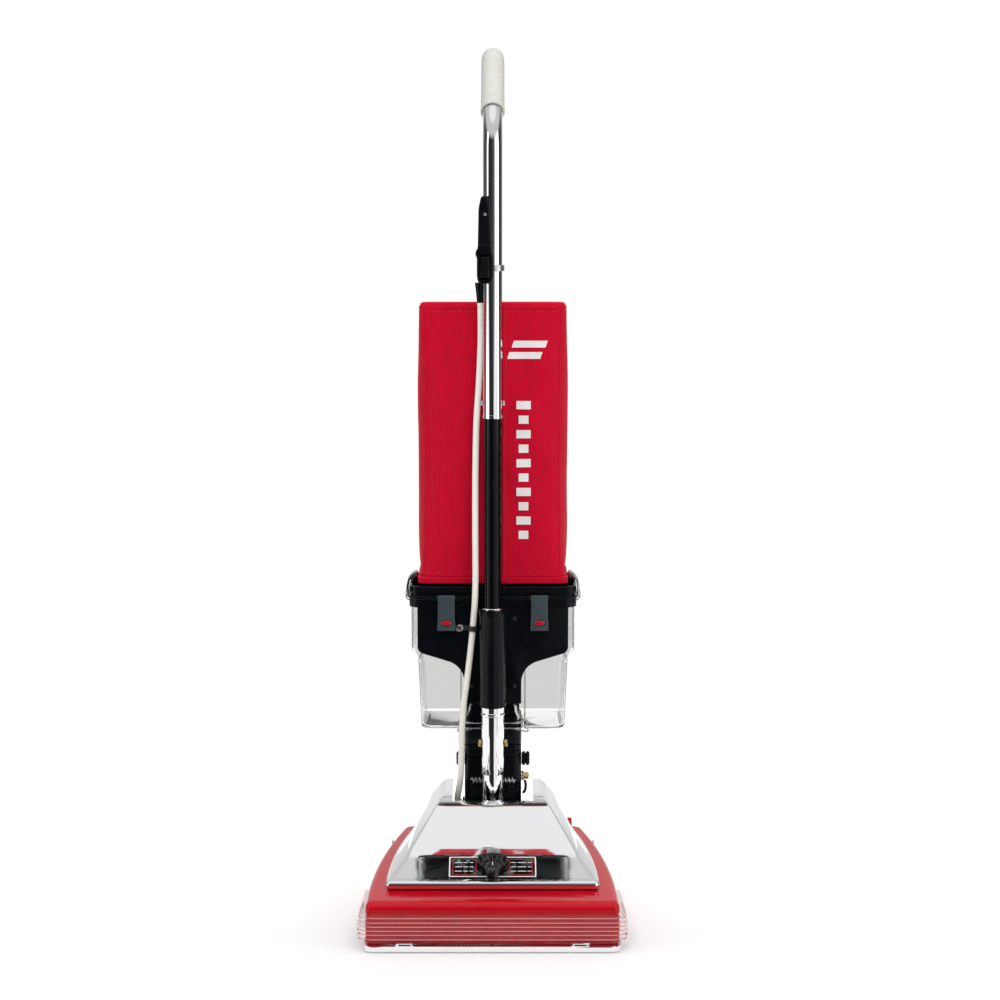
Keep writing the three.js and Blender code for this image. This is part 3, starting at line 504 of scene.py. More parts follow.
PRINTS = {name: plain_print(name, *values) for name, *values in (
    ("white_print", (0.86, 0.86, 0.84)), ("red_print", (0.5, 0.01, 0.02)), ("teal_print", (0.12, 0.42, 0.44)),
    ("red_lens", (0.42, 0.005, 0.015), 0.2), ("red_thread", (0.62, 0.05, 0.06), 0.6),
    # the pale pink strip colour is a painted highlight for light caught on the guard's ribs
    ("pale_line", (0.8, 0.4, 0.4), 0.35), ("bristle", (0.03, 0.028, 0.026), 0.6))}


def dress(obj, body, slot, nodes=(), look=None):
    """Gives a piece its material and its place on a body, and hides the CAD nodes it stands in for."""
    obj.data.materials.clear()
    obj.data.materials.append(PRINTS[look] if look else MATERIALS[slot])
    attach(obj, body)
    if nodes:
        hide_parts(*nodes)
    return obj


def stand_for(obj, node, slot=None):
    obj.name = node + "_look"
    return dress(obj, BODY[node], slot or SLOT[node], [node])


def trim(obj, name, node, slot, look=None):
    """A small detail that rides with a node without replacing it."""
    obj.name = name
    return dress(obj, BODY[node], slot, look=look)


SIDES = (("left", -1), ("right", 1))
QUARTER_TURN = math.pi / 2


# ---------------------------------------------------------------- base
BASE = {"front": 12, "rear": 320, "half_front": 162.3, "half_rear": 122, "deck_front": 64, "deck_rear": 84}
BASE_LENGTH = BASE["rear"] - BASE["front"]
NOTCH_HALF, NOTCH_FRONT, NOTCH_FLOOR = 53, 228, 60
MOTOR_Y = 180
BEYOND = 400  # past the rear of everything
GUARD_BACK, GUARD_BULGE = 118, 11.5
GUARD_GROOVES = (14, 18.4, 24.6, 30, 35.2, 40.4, 46.2, 50)


def deck(y):
    return BASE["deck_front"] + (BASE["deck_rear"] - BASE["deck_front"]) * (y - BASE["front"]) / BASE_LENGTH


def half_width(y):
    share = max(0, y - BASE["front"]) / BASE_LENGTH
    return BASE["half_front"] - (BASE["half_front"] - BASE["half_rear"]) * share**2.2


def bowed(front, back, half_at, radius):
    """An outline with straight ends and curved sides; half_at gives half its width at each y."""
    right = [(half_at(y), y) for y in (front + share / 20 * (back - front) for share in range(21))]
    left = [(-x, y) for x, y in reversed(right)]
    ends = [radius, *[0] * 19, radius]
    return fillet([*right, *left], [*ends, *ends], 12)


def base_outline(inset, radius):
    return bowed(BASE["front"] + inset, BASE["rear"] - inset, lambda y: half_width(y) - inset, radius)


def build_base():
    def below(drop):
        return lambda y: deck(y) - drop

    rings = [at_height(base_outline(1.4, 15), 9.3), at_height(base_outline(0.4, 16), 10.4),
             at_height(base_outline(0, 16), 12.4)]
    for k in range(9):
        angle = k / 8 * QUARTER_TURN
        inset, drop = 8.5 * (1 - math.cos(angle)), 9.5 * (1 - math.sin(angle))
        rings.append(at_height(base_outline(inset, 17), below(drop)))
    shell = loft(rings)
    inside = loft([at_height(base_outline(3, 14), 0), at_height(base_outline(3, 14), below(11)),
                   at_height(base_outline(9, 12), below(3))])
    notch = prism("z", rectangle(NOTCH_HALF, NOTCH_FRONT, BEYOND, [6, 6, 1, 1]), NOTCH_FLOOR, 120)
    pedal_slot = prism("z", fillet(four(96, 111, 300, BEYOND), [3, 3, 1, 1]), 50, 78)
    cut(shell, inside, block(-200, 200, GUARD_BACK, BEYOND, 0, 22), rod("z", 46, 50, 120, 0, MOTOR_Y), notch,
        pedal_slot, rod("z", 7, 50, 100, 0, 78))
    stand_for(bevel(shell, 0.5, 2, 50), "base_housing")


def guard_outline(out):
    front = BASE["front"] - out
    corner, back = half_width(front) + out, half_width(GUARD_BACK)
    outline = [(-corner, front), (corner, front), (back + out, GUARD_BACK), (-back - out, GUARD_BACK)]
    return fillet(outline, [20, 20, 0.6, 0.6], 14)


def build_guard():
    """A clear bumper with rounded ribs, one on top of the other; pale strips laid in its grooves are painted
    highlights of the ribs.
    """
    low, high = GUARD_GROOVES[0], GUARD_GROOVES[-1]

    def swell(z):
        return GUARD_BULGE * (0.74 + 0.26 * math.sin(math.pi * (z - low + 6) / (high - low + 9)))

    rings = [at_height(guard_outline(3), low - 0.01)]
    for bottom, top in zip(GUARD_GROOVES, GUARD_GROOVES[1:]):
        for k in range(0 if bottom == low else 1, 9):
            share = k / 8
            crown = 1.7 * (1 - math.sin(math.pi * share) ** 0.6)
            z = bottom + (top - bottom) * share
            rings.append(at_height(guard_outline(min(swell(z), GUARD_BULGE) - crown), z))
    rings.append(at_height(guard_outline(3), high + 0.01))
    guard = loft(rings)
    hugging = [at_height(base_outline(-GAP, 16), 0), at_height(base_outline(-GAP, 16), 60)]
    cut(guard, loft(hugging))
    stand_for(guard, "furniture_guard")
    # Pale pink strips in the grooves: painted highlights standing in for light caught on the vinyl ribs, not
    # a part of the bumper.
    lines = []
    for z in GUARD_GROOVES[1:-1]:
        outline = [p for p in guard_outline(swell(z) - 1.6) if p[1] < GUARD_BACK - 8]
        left_to_right = sorted(outline, key=lambda p: math.atan2(p[0], GUARD_BACK - p[1]))
        lines.append(sweep(at_height(left_to_right, z), 0.62, 8))
    trim(group(lines), "guard_groove_painted_highlights", "furniture_guard", "guard_vinyl", "pale_line")


HOOD_LEVELS = [  # front y, rear y, front half, rear half, front z, rear z
    (56, 316, 137, 99, 69.6, 86.4), (54.6, 317, 138.4, 100, 74, 90), (56.4, 316, 137, 99, 78.6, 93),
    (62, 311, 133, 96, 80.2, 95), (105, 305, 113, 92, 97.6, 113), (112, 303.5, 110.5, 91, 101.2, 118),
    (121, 302, 106.5, 89, 106.8, 124), (147, 300, 91, 84, 128, 135), (173, 297, 76, 76, 149.3, 145),
    (180, 294, 72, 72, 152.6, 151), (226, 286, 64, 64, 159.5, 158.5),
]
SLOPE_START, SLOPE_END = HOOD_LEVELS[3], HOOD_LEVELS[4]  # of the hood's shallow front
SLOPE_Y, SLOPE_Z = SLOPE_START[0], SLOPE_START[4]
HOOD_TILT = math.atan2(SLOPE_END[4] - SLOPE_Z, SLOPE_END[0] - SLOPE_Y)
LABEL_Y = 84.3
KNOB_Y, KNOB_TILT = 75.5, 0.14


def hood_ring(level, inset=0.0, drop=0.0):
    front, back, half_a, half_b, z_a, z_b = level

    def share(y):
        return (y - front) / (back - front)

    def half_at(y):
        return half_a - (half_a - half_b) * share(y) ** 2 - inset

    outline = bowed(front + inset, back - inset, half_at, 15)
    return at_height(outline, lambda y: z_a + (z_b - z_a) * share(y) - drop)


def handle_slot(grow):
    profile = fillet([(184 - grow, 200), (184 - grow, 110 - grow), (224 - grow, 110 - grow), (224 - grow, 40),
                      (BEYOND, 40), (BEYOND, 200)], [1, 3, 3, 1, 1, 1], 5)
    return prism("x", profile, -54 - grow, 54 + grow)


def knob_hole():
    return rod("z", 13, 60, 110, 0, KNOB_Y, 96)


def build_hood():
    outside = soften(HOOD_LEVELS, 4.5, 5)
    inside = [hood_ring(HOOD_LEVELS[0], 3.4, 12), hood_ring(HOOD_LEVELS[0], 3.4, -3)]
    inside += [hood_ring(level, 1.8, 1.9) for level in HOOD_LEVELS[3:]]
    hood = cut(loft([hood_ring(level) for level in outside]), handle_slot(0))
    hollow = cut(loft(inside), handle_slot(1.8))
    cut(hood, hollow, knob_hole())
    stand_for(finish_shading(hood, 28), "motor_hood")


def on_hood(y, tilt=HOOD_TILT):
    """The matrix of a piece that stands on the shallow front of the hood, its centre at y."""
    return turned((0, y, SLOPE_Z + (y - SLOPE_Y) * math.tan(HOOD_TILT)), tilt)


def hood_patch(x0, x1, y0, y1, radius, low, high):
    return prism("z", fillet(four(x0, x1, y0, y1), radius, 4), low, high, on_hood(LABEL_Y))


def frame_line(x0, x1, y0, y1, width, low, high):
    outer = hood_patch(x0, x1, y0, y1, 1.6, low, high)
    return cut(outer, hood_patch(x0 + width, x1 - width, y0 + width, y1 - width, 1.2, low - 1, high + 1))


def build_label():
    top = 1.7
    plate = hood_patch(-56.8, 56.8, -21, 21, 3, 0.5, top)
    stand_for(bevel(cut(plate, knob_hole()), 0.25), "label_plate")
    border = frame_line(-56.6, 56.6, -20.8, 20.8, 1.5, top, 1.95)
    trim(cut(border, knob_hole()), "label_border", "label_plate", "cream_grip", "white_print")
    boxes = [frame_line(*sorted((side * 21, side * 52)), -16.6, 16, 0.8, top, 1.88) for side in (-1, 1)]
    trim(group(boxes), "label_boxes", "label_plate", "red_shell", "red_print")
    bars = []
    for row in range(3):
        y = 9 - 9 * row
        for side, widths in ((-1, (9, 6, 5)), (1, (7, 11, 5))):
            x = side * 37 - sum(widths) / 2 - 2
            for width in widths:
                bars.append(hood_patch(x, x + width, y - 0.55, y + 0.55, 0.4, top, 1.9))
                x += width + 2
    trim(group(bars), "label_bars", "label_plate", "cream_grip", "white_print")
    dots = [hood_patch(x, x + 4, 12, 14, 0.8, top, 1.9) for x in (-46, -34)]
    trim(group(dots), "label_dots", "label_plate", "slate_plastic", "teal_print")


def build_knob():
    """A tapered barrel that opens into a wide dish, with a finger ridge across it."""
    at = on_hood(KNOB_Y, KNOB_TILT)
    profile = [(0, -20.5), (3.6, -20.5), (4, -20), (4, -6.4), (11.4, -6), (12, -5.2), (12.2, 1), (12.7, 4),
               (13.8, 7), (15.8, 10.4), (18.2, 13.6), (19.6, 15.4), (20.3, 16.6), (20.5, 17.6),
               (20.2, 18.6), (19.5, 19), (18.8, 18.8), (17.8, 17.4), (16.4, 14.8), (14.4, 12.6),
               (11, 11.4), (6, 10.9), (0, 10.8)]
    knob = lathe(profile, at, 180, flute=(20, 0.9, 15))
    ridge = fillet([(-1.8, 10), (1.8, 10), (1.3, 15.6), (-1.3, 15.6)], 0.6, 3)
    stand_for(join(knob, prism("y", ridge, -14.5, 14.5, at)), "height_knob")
    mark = prism("y", four(-0.5, 0.5, 15.5, 15.9), -12.5, -3, at)
    trim(mark, "knob_mark", "height_knob", "cream_grip", "white_print")


def flipped(profile):
    """The second half of a profile that is the mirror image of its first half."""
    return [(radius, -height) for radius, height in reversed(profile)]


WHEELS = (  # name, axle y, radius, inner and outer face, bore
    ("rear_wheel", 282, 32, 72, 92, 4.3), ("front_wheel", 140, 19, 82, 98, 3.3),
)


def build_wheels():
    for side, s in SIDES:
        for name, y, radius, inner, outer, bore in WHEELS:
            half = (outer - inner) / 2
            hub = radius * 0.62
            profile = [(bore, -half), (hub * 0.5, -half), (hub * 0.55, -half + 1.4), (hub - 1, -half + 1.4),
                       (hub, -half), (radius - 2.4, -half), (radius - 0.7, -half + 0.8),
                       (radius, -half + 2.2)]
            grooves = []
            for x in (-half * 0.4, half * 0.4):
                grooves += [(radius, x - 0.8), (radius - 1, x - 0.5), (radius - 1, x + 0.5),
                            (radius, x + 0.8)]
            centre = along("x", s * (inner + outer) / 2, y, radius)
            wheel = lathe(profile + grooves + flipped(profile), centre, 96, closed=True)
            stand_for(wheel, f"{name}_{side}")


def build_brush_roll():
    y, z, half = 50, 26, 136
    profile = [(0, -148), (3.6, -148), (4, -147.4), (4, -half), (12.4, -half), (13, 0.8 - half), (13, -9),
               (15.5, -8), (15.5, -5), (13, -4.4)]
    roll = lathe(profile + flipped(profile), along("x", 0, y, z), 48)
    stand_for(roll, "brush_roll", "roll_metal")

    def out(x, jitter, radius, angle):
        return Vector((x + random.uniform(-jitter, jitter), y - radius * math.sin(angle),
                       z + radius * math.cos(angle)))

    tufts = []
    for side in (-1, 1):
        for start in (0, math.pi):
            for i in range(26):
                x = side * (15 + 4.6 * i)
                angle = start + side * i * 0.062
                for _ in range(5):
                    lean = angle + random.uniform(-0.09, 0.09)
                    foot, tip = out(x, 1.2, 12, angle), out(x, 1.8, 22.6, lean)
                    tufts.append(sweep([foot, foot.lerp(tip, 0.5), tip], 0.55, 5))
    trim(group(tufts), "brush_tufts", "brush_roll", "black_plastic", "bristle")


# ---------------------------------------------------------------- handle
PIVOT_Y, PIVOT_Z = 262, 92
TERMINAL_Y, TERMINAL_Z = 252, 171
TUBE_Y = 215
LOWER_TUBE, UPPER_TUBE, TUBE_WALL, TUBE_SEAM = 11.6, 12.7, 1.5, 664
BEND_START, BEND_RADIUS, BEND_ANGLE = 1014, 60, math.radians(55)
SOCKET_RADIUS, SOCKET_BOLT_Z, TUBE_BOLT_Z = 15.4, 225, 684
STEM_RADIUS = 13.8


def bend_point(angle, beyond=0.0):
    y = TUBE_Y + BEND_RADIUS * (1 - math.cos(angle)) + beyond * math.sin(angle)
    return (0, y, BEND_START + BEND_RADIUS * math.sin(angle) + beyond * math.cos(angle))


def on_tube():
    return along("z", 0, TUBE_Y, 0)


def build_bail():
    arms = []
    for s in (-1, 1):
        outline = fillet([(207, 128), (223, 128), (253.4, 87), (270, 84), (272, 98), (222, 141), (207, 141)],
                         [3, 2, 5, 7, 7, 3, 3], 6)
        arms.append(prism("x", outline, *sorted((s * 38, s * 42))))
    crossbar = prism("x", fillet([(207, 128), (223, 128), (223, 141), (207, 141)], 3, 6), -40, 40)
    stem = rod("z", STEM_RADIUS, 130, 240, 0, TUBE_Y, 72)
    whole = join(crossbar, *arms, stem)
    cut(whole, rod("z", STEM_RADIUS - 2, 150, 245, 0, TUBE_Y), rod("x", 3.3, -30, 30, TUBE_Y, SOCKET_BOLT_Z),
        rod("x", 5.3, -60, 60, PIVOT_Y, PIVOT_Z))
    stand_for(bevel(whole, 0.5), "handle_bail")


def build_socket():
    inner, outer = STEM_RADIUS + GAP, SOCKET_RADIUS
    profile = [(inner, 183.4), (inner + 0.4, 183), (outer - 0.4, 183), (outer, 183.6), (outer, 262.4),
               (outer + 0.6, 263), (outer + 0.9, 264), (outer + 0.9, 266), (outer + 0.6, 267), (outer, 267.6),
               (outer, 274.4), (outer - 0.5, 275), (inner + 0.4, 275), (inner, 274.6)]
    socket = lathe(profile, on_tube(), 96, closed=True)
    notch = prism("y", fillet([(-6, 180), (6, 180), (0, 193)], [0.1, 0.1, 1.2], 4), 190, TUBE_Y)
    cut(socket, rod("x", 3.3, -30, 30, TUBE_Y, SOCKET_BOLT_Z), notch)
    stand_for(finish_shading(socket), "handle_socket")
    stand_for(bolt(3, 17, 5.4, 15.8, 19.8, SOCKET_BOLT_Z), "socket_bolt")


def bolt(shank, reach, head, inner, outer, z):
    """A bolt across the tube with a crowned hexagon at each end."""
    ends = []
    for s in (-1, 1):
        profile = [(0, inner), (head * 0.96, inner), (head, inner + 0.4), (head, outer - 1),
                   (head * 0.8, outer), (0, outer)]
        turn = along("x", 0, TUBE_Y, z)
        if s < 0:
            turn = Matrix.Rotation(math.pi, 4, "Z") @ along("x", 0, -TUBE_Y, z)
        ends.append(lathe(profile, turn, 6))
    return bevel(join(rod("x", shank, -reach, reach, TUBE_Y, z, 24), *ends), 0.3)


def build_tubes():
    def drill():
        return rod("x", 2.4, -30, 30, TUBE_Y, TUBE_BOLT_Z, 24)

    stand_for(cut(pipe(LOWER_TUBE, LOWER_TUBE - TUBE_WALL, 243, 702), drill()), "lower_tube")
    path = [(0, TUBE_Y, TUBE_SEAM), (0, TUBE_Y, TUBE_SEAM + 4), (0, TUBE_Y, 800), (0, TUBE_Y, BEND_START - 8)]
    path += [bend_point(BEND_ANGLE * k / 24) for k in range(25)]
    path += [bend_point(BEND_ANGLE, beyond) for beyond in (8, 60, 124)]
    upper = sweep(path, UPPER_TUBE, 96, inner=LOWER_TUBE + GAP)
    stand_for(cut(upper, drill()), "upper_tube")
    collar = pipe(UPPER_TUBE + 0.55, UPPER_TUBE + 0.05, TUBE_SEAM + 0.5, TUBE_SEAM + 4.6, 0.2)
    trim(collar, "tube_seam_ring", "upper_tube", "chrome")
    stand_for(bolt(2, 15.2, 3.6, 13.2, 15.9, TUBE_BOLT_Z), "tube_bolt")


def build_grip():
    _, y, z = bend_point(BEND_ANGLE)
    to_bend = turned((0, y + 2.4, z + 1.7), -BEND_ANGLE)
    ribs = []
    for k in range(11):
        h = 20 + 8.6 * k
        ribs += [(15.5, h), (15.1, h + 0.8), (15.1, h + 1.6), (15.5, h + 2.4)]
    profile = [(0, 128), (13, 128), (13, 0.8), (13.6, 0), (15.3, 0), (16, 0.8), (16.1, 2.6), (15.6, 4.4),
               (15.5, 6), *ribs, (15.5, 122), (15.3, 127), (14.7, 131.6), (13.4, 134.8), (11.4, 137),
               (9, 138.2), (6.5, 138.8), (6, 140), (5.2, 140.8), (0, 141)]
    stand_for(lathe(profile, to_bend, 96), "handle_grip")


def build_switch():
    face = fillet([(-18, 842), (-2, 842), (1, 850), (1, 878), (-1.4, 888), (-3.6, 940), (-7, 956),
                   (-15, 956), (-18.4, 940), (-19.4, 888), (-22.4, 884), (-22.4, 879), (-20.6, 876),
                   (-20.6, 850)], 3.4, 5)
    shell = bevel(prism("y", face, 189, 232), 2.6, 4, 50)
    pocket = prism("y", fillet(four(-16.4, -3.6, 847.6, 880.4), 2, 4), 180, 200)
    x, z = -10, 932  # the screw in its face
    cut(shell, rod("z", UPPER_TUBE + GAP, 800, 1000, 0, TUBE_Y), pocket, block(-8, 10, 226, 240, 800, 1000),
        rod("y", 2.6, 180, 190, x, z, 32))
    stand_for(finish_shading(shell, 30), "switch_housing")
    head = lathe([(0, -1.4), (2.4, -1.4), (2.4, 0.2), (1.8, 0.7), (0, 0.9)],
                 turned((x, 189.9, z), QUARTER_TURN), 32)
    cut(head, block(x - 2.2, x + 2.2, 188.4, 189.4, z - 0.4, z + 0.4))
    trim(head, "switch_screw", "switch_housing", "steel")
    seam = sweep([(-17.6, 189.3, 893), (-10, 188.9, 892.4), (-3.6, 189.3, 893)], 0.35, 6)
    trim(seam, "switch_seam", "switch_housing", "black_gloss")
    outline = fillet([(187.4, 850.4), (192, 851), (195, 852.4), (195, 876), (191, 877.2), (189.4, 877.4),
                      (189.8, 864)], [1.6, 1, 1, 1, 1, 1.4, 9], 5)
    rocker = prism("x", outline, -15.6, -4.4)
    stand_for(bevel(rocker, 0.7, 3), "switch_rocker")
    boot = sweep([(-17.4, 226, 842.4), (-17.1, 226.1, 836), (-16.6, 226.2, 826), (-16.3, 226.3, 816)],
                 lambda t: 6.3 - 1.7 * t, 24)
    trim(boot, "lead_boot", "switch_housing", "black_plastic")


LEAD_RADIUS = 4.25
LEAD_ROUTE = [
    (-17.4, 226, 841.6), (-16.4, 226.2, 822), (-15.8, 226.3, 790), (-16.2, 226, 755), (-18.6, 224.5, 705),
    (-21.4, 222, 662), (-22.8, 219.5, 610), (-23.3, 217.6, 553), (-23.2, 216.4, 495), (-23.2, 216, 445),
    (-24.4, 218.2, 412), (-26.8, 223.4, 381), (-30, 223.6, 349), (-34.9, 224, 308), (-39.6, 225, 274),
    (-41.6, 226.5, 240), (-42.8, 228.4, 205), (-43.8, 231.4, 176), (-46.4, 238.6, 154), (-48.4, 247, 141.4),
    (-47, 253.6, 134.4), (-44, 255.6, 133.6),
]
CLIP_X, CLIP_Y, CLIP_Z, CLIP_SCREW_X = -26.9, 223.1, 380, -44.9


def build_lead():
    stand_for(sweep(spline(LEAD_ROUTE, 8), LEAD_RADIUS, 20), "power_lead")
    low, high = CLIP_Z - 3.4, CLIP_Z + 3.4
    band = pipe(6.6, 5.35, low, high, 0.5, CLIP_X, CLIP_Y, 64)
    foot = prism("y", fillet(four(-51, CLIP_X, low, high), [3.3, 0.4, 0.4, 3.3], 6), 227.4, 229.5)
    inside = rod("z", 5.3, 370, 390, CLIP_X, CLIP_Y)
    clip = cut(join(band, foot), inside, rod("y", 2.3, 220, 240, CLIP_SCREW_X, CLIP_Z))
    stand_for(bevel(clip, 0.25), "lead_clip")
    to_front = turned((CLIP_SCREW_X, 227.3, CLIP_Z), QUARTER_TURN)
    washer = lathe([(0, -8), (2, -8), (2, 0), (5, 0), (5.2, 0.3), (5, 0.7), (0, 0.7)], to_front, 48)
    head = lathe([(0, 0.6), (4, 0.6), (4.2, 1), (4.2, 3), (3.3, 3.7), (0, 3.8)], to_front, 6)
    stand_for(bevel(join(washer, head), 0.2), "clip_screw")
    profile = [(LEAD_RADIUS, 0), (6.4, 0), (7, 0.5), (7, 1.6), (6, 2.2), (5, 2.4), (LEAD_RADIUS, 2.4)]
    grommet = lathe(profile, turned((-39, 256, 133.4), -QUARTER_TURN, "Y"), 48, closed=True)
    stand_for(grommet, "lead_grommet")


# ---------------------------------------------------------------- duct
DUCT_HALF, DUCT_FRONT, DUCT_BACK, DUCT_BOTTOM, DUCT_TOP = 38.7, 240, 290, 128, 274.7


def duct_ring(grow, z):
    return at_height(rectangle(DUCT_HALF + grow, DUCT_FRONT - grow, DUCT_BACK + grow, 10), z)


def build_duct():
    levels = [(-1, DUCT_BOTTOM), (0, DUCT_BOTTOM + 1.2), (0, 196)]
    for z in (200, 208, 216):
        levels += [(0, z), (-0.9, z + 0.6), (-0.9, z + 2), (0, z + 2.6)]
    levels += [(0, 254.6), (-1, 256), (-2.6, 257.2), (-2.8, 258), (-2.8, 273.8), (-3.6, DUCT_TOP)]
    body = loft([duct_ring(grow, z) for grow, z in levels])
    rim = [(0, -34), (31, -34), (32, -33), (32, -25), (30.6, -24)]
    drum = lathe(rim + flipped(rim), along("x", 0, PIVOT_Y, PIVOT_Z), 96)
    whole = join(body, drum, block(-34, 34, 244, 286, PIVOT_Z, DUCT_BOTTOM + 2))
    cut(whole, rod("x", 28.5, -30.5, 30.5, PIVOT_Y, PIVOT_Z), rod("x", 5.3, -50, 50, PIVOT_Y, PIVOT_Z),
        prism("z", rectangle(33, 244, 284, 7), DUCT_BOTTOM + 4, 300),
        block(-30.5, 30.5, 247.5, 282.5, PIVOT_Z, DUCT_BOTTOM + 5), block(-16, 16, 253, 271, 40, PIVOT_Z))
    stand_for(bevel(whole, 0.4, 2, 50), "duct_elbow")


def build_clamp():
    """A wire band with a twisted ear at each front corner and two spring tabs above it."""
    ring = rectangle(DUCT_HALF + 1.5, DUCT_FRONT - 1.5, DUCT_BACK + 1.5, 11)
    wires = []
    for z in (239.4, 246.6):
        path = [(x, y, z) for x, y in ring]
        wires.append(sweep(path + path[:2], 0.9, 10))
    for s in (-1, 1):
        ear = [(s * 26, 238, 239.4), (s * 38, 237, 237), (s * 46, 237.6, 235.4), (s * 47.6, 237.8, 238),
               (s * 42.4, 237.8, 243), (s * 47.4, 237.8, 248.6), (s * 45.4, 237.6, 251), (s * 38, 237, 249.4),
               (s * 26, 238, 246.6)]
        wires.append(sweep(spline(ear, 5), 0.9, 10))
        tab = [(s * 35, 241.5, 252), (s * 34.2, 238, 258), (s * 31.4, 236.4, 265), (s * 30.6, 235.4, 271),
               (s * 28.6, 236, 274)]
        wires.append(sweep(spline(tab, 5), lambda t: 3.4 - 1.2 * t, 14, flat=0.3))
    stand_for(group(wires), "duct_clamp")


def build_duct_fittings():
    profile = [(0, 0), (7.4, 0), (8, 0.5), (9.6, 1.6), (10, 2.4), (10, 4), (9.4, 4.6), (7.4, 5), (7.4, 5.8),
               (9.4, 6.2), (10, 7), (9.8, 9), (8.8, 10.4), (7, 11), (4, 11), (3.6, 10.2), (0, 10.2)]
    for side, s in SIDES:
        turn = turned((s * (DUCT_HALF + GAP), 252, 195), s * QUARTER_TURN, "Y")
        stand_for(lathe(profile, turn, 96, flute=(12, 0.9, 8.5)), f"thumb_screw_{side}")
    sideways = along("x", 0, TERMINAL_Y, TERMINAL_Z)
    washer = lathe([(0, 39), (6.3, 39), (6.6, 39.4), (6.6, 41.6), (6.3, 42), (0, 42)], sideways)
    head = lathe([(0, 41.6), (4.8, 41.6), (5, 42), (5, 47.8), (3.8, 48.8), (0, 49)], sideways, 6)
    stand_for(bevel(join(washer, head), 0.3), "terminal_bolt")
    tail = spline([(43, 251, 165), (44.6, 250, 160), (44, 249.4, 152), (41.4, 250, 147)], 5)
    trim(sweep(tail, 1.9, 14), "terminal_tail", "terminal_bolt", "black_rubber")
    half, radius = 29.5, 4
    spring = coil(12, 16, lambda share, angle: (
        2 * half * share - half, 234.4 + radius * math.cos(angle), 168.6 + radius * math.sin(angle)))
    stand_for(sweep(spring, 1.15, 10), "handle_spring")


# ---------------------------------------------------------------- dust cup and its frame
FRAME_HALF, FRAME_FRONT, FRAME_BACK, RIM_BOTTOM, RIM_TOP = 112.7, 228, 352, 407, 436
PANEL_HALF, NECK_HALF, NECK_FRONT, NECK_BACK, NECK_BOTTOM = 101.5, 38.4, 230, 288, 275
LATCH_X, LATCH_Y, LATCH_Z, LENS_Z = 62.5, 222.4, 420.6, 387.4
CUP_WALL = 2.2


def frame_ring(inset, z, radius=14):
    return at_height(rectangle(FRAME_HALF - inset, FRAME_FRONT + inset, FRAME_BACK - inset, radius), z)


def cup_rim():
    """A flanged rim with a bead round its middle and a groove above it."""
    levels = [(1.4, RIM_BOTTOM), (0.5, RIM_BOTTOM + 0.6), (0.3, RIM_BOTTOM + 2), (0.3, 417.6), (-0.6, 418.4),
              (-1, 419.8), (-0.9, 421.4), (0, 422.4), (1.3, 423), (1.3, 425.4), (0.2, 426.2), (0, 427.4),
              (0, 433.4), (0.5, 435), (1.8, RIM_TOP)]
    rim = loft([frame_ring(inset, z) for inset, z in levels])
    inside = [frame_ring(4, RIM_BOTTOM + 4, 11), frame_ring(4, 434.6, 11), frame_ring(3.2, RIM_TOP + 1, 12)]
    return cut(rim, loft(inside), block(-82, 82, 292, 336, 400, 420))


def cup_panel():
    side = [(PANEL_HALF, 409), (PANEL_HALF, 346), (50, 330), (NECK_HALF, 314), (NECK_HALF, NECK_BOTTOM)]
    corners = [*[(-x, z) for x, z in side], *reversed(side)]
    radii = [1, 7, 12, 14, 2]
    return pillow("y", corners, radii + radii[::-1], NECK_FRONT, NECK_FRONT + 4.6, 1.6, 10)


def build_cup_frame():
    neck = rectangle(NECK_HALF - 0.2, NECK_FRONT + 2, NECK_BACK, [0.4, 0.4, 4, 4], 6)
    channel = prism("z", neck, NECK_BOTTOM + 0.2, 408.6)
    inner = NECK_HALF - 3
    window = block(-28, 28, NECK_BACK - 5, NECK_BACK + 5, 352, 396)
    profile = [(0, 275.6), (17.3, 275.6), (18.1, 276.4), (18.1, 398), (18.7, 399), (18.7, 406.6), (18.1, 408),
               (0, 408)]
    sleeve = lathe(profile, on_tube(), 96)
    lugs = []
    for s in (-1, 1):
        for edge in (-14.2, 14.2):
            x = s * LATCH_X + edge
            corners = four(LATCH_Y - 3.4, FRAME_FRONT + 2, LATCH_Z - 4, LATCH_Z + 4)
            profile = fillet(corners, [3.2, 0.2, 0.2, 3.2], 6)
            lugs.append(prism("x", profile, x - 1.6, x + 1.6))
    whole = join(cup_rim(), cup_panel(), channel, sleeve, *lugs)
    cut(whole, window, rod("z", LOWER_TUBE + GAP, 200, 500, 0, TUBE_Y),
        block(-inner, inner, NECK_FRONT + 4, NECK_BACK - 3, 200, 405),
        rod("x", 1.9, -90, 90, LATCH_Y, LATCH_Z, 24), rod("y", 2.3, 220, 240, CLIP_SCREW_X, CLIP_Z, 24))
    stand_for(whole, "cup_frame")
    ring = pipe(14.6, LOWER_TUBE + GAP, 407.4, 409.8, 0.5)
    trim(ring, "sleeve_ring", "cup_frame", "chrome")
    heads = []
    profile = [(0, -1), (3, -1), (3, 0.4), (2.4, 1.1), (1.2, 1.3), (0.6, 0.6), (0, 0.6)]
    for s in (-1, 1):
        for z in (392, 300):
            heads.append(lathe(profile, turned((s * 29, NECK_FRONT, z), QUARTER_TURN), 32))
    trim(group(heads), "panel_screws", "cup_frame", "black_steel")


def oval(x, y, half_width, half_height):
    """A ring of points at the height of the latches' lenses."""
    angles = [2 * math.pi * k / 40 for k in range(40)]
    return [(x + half_width * math.cos(a), y, LENS_Z + half_height * math.sin(a)) for a in angles]


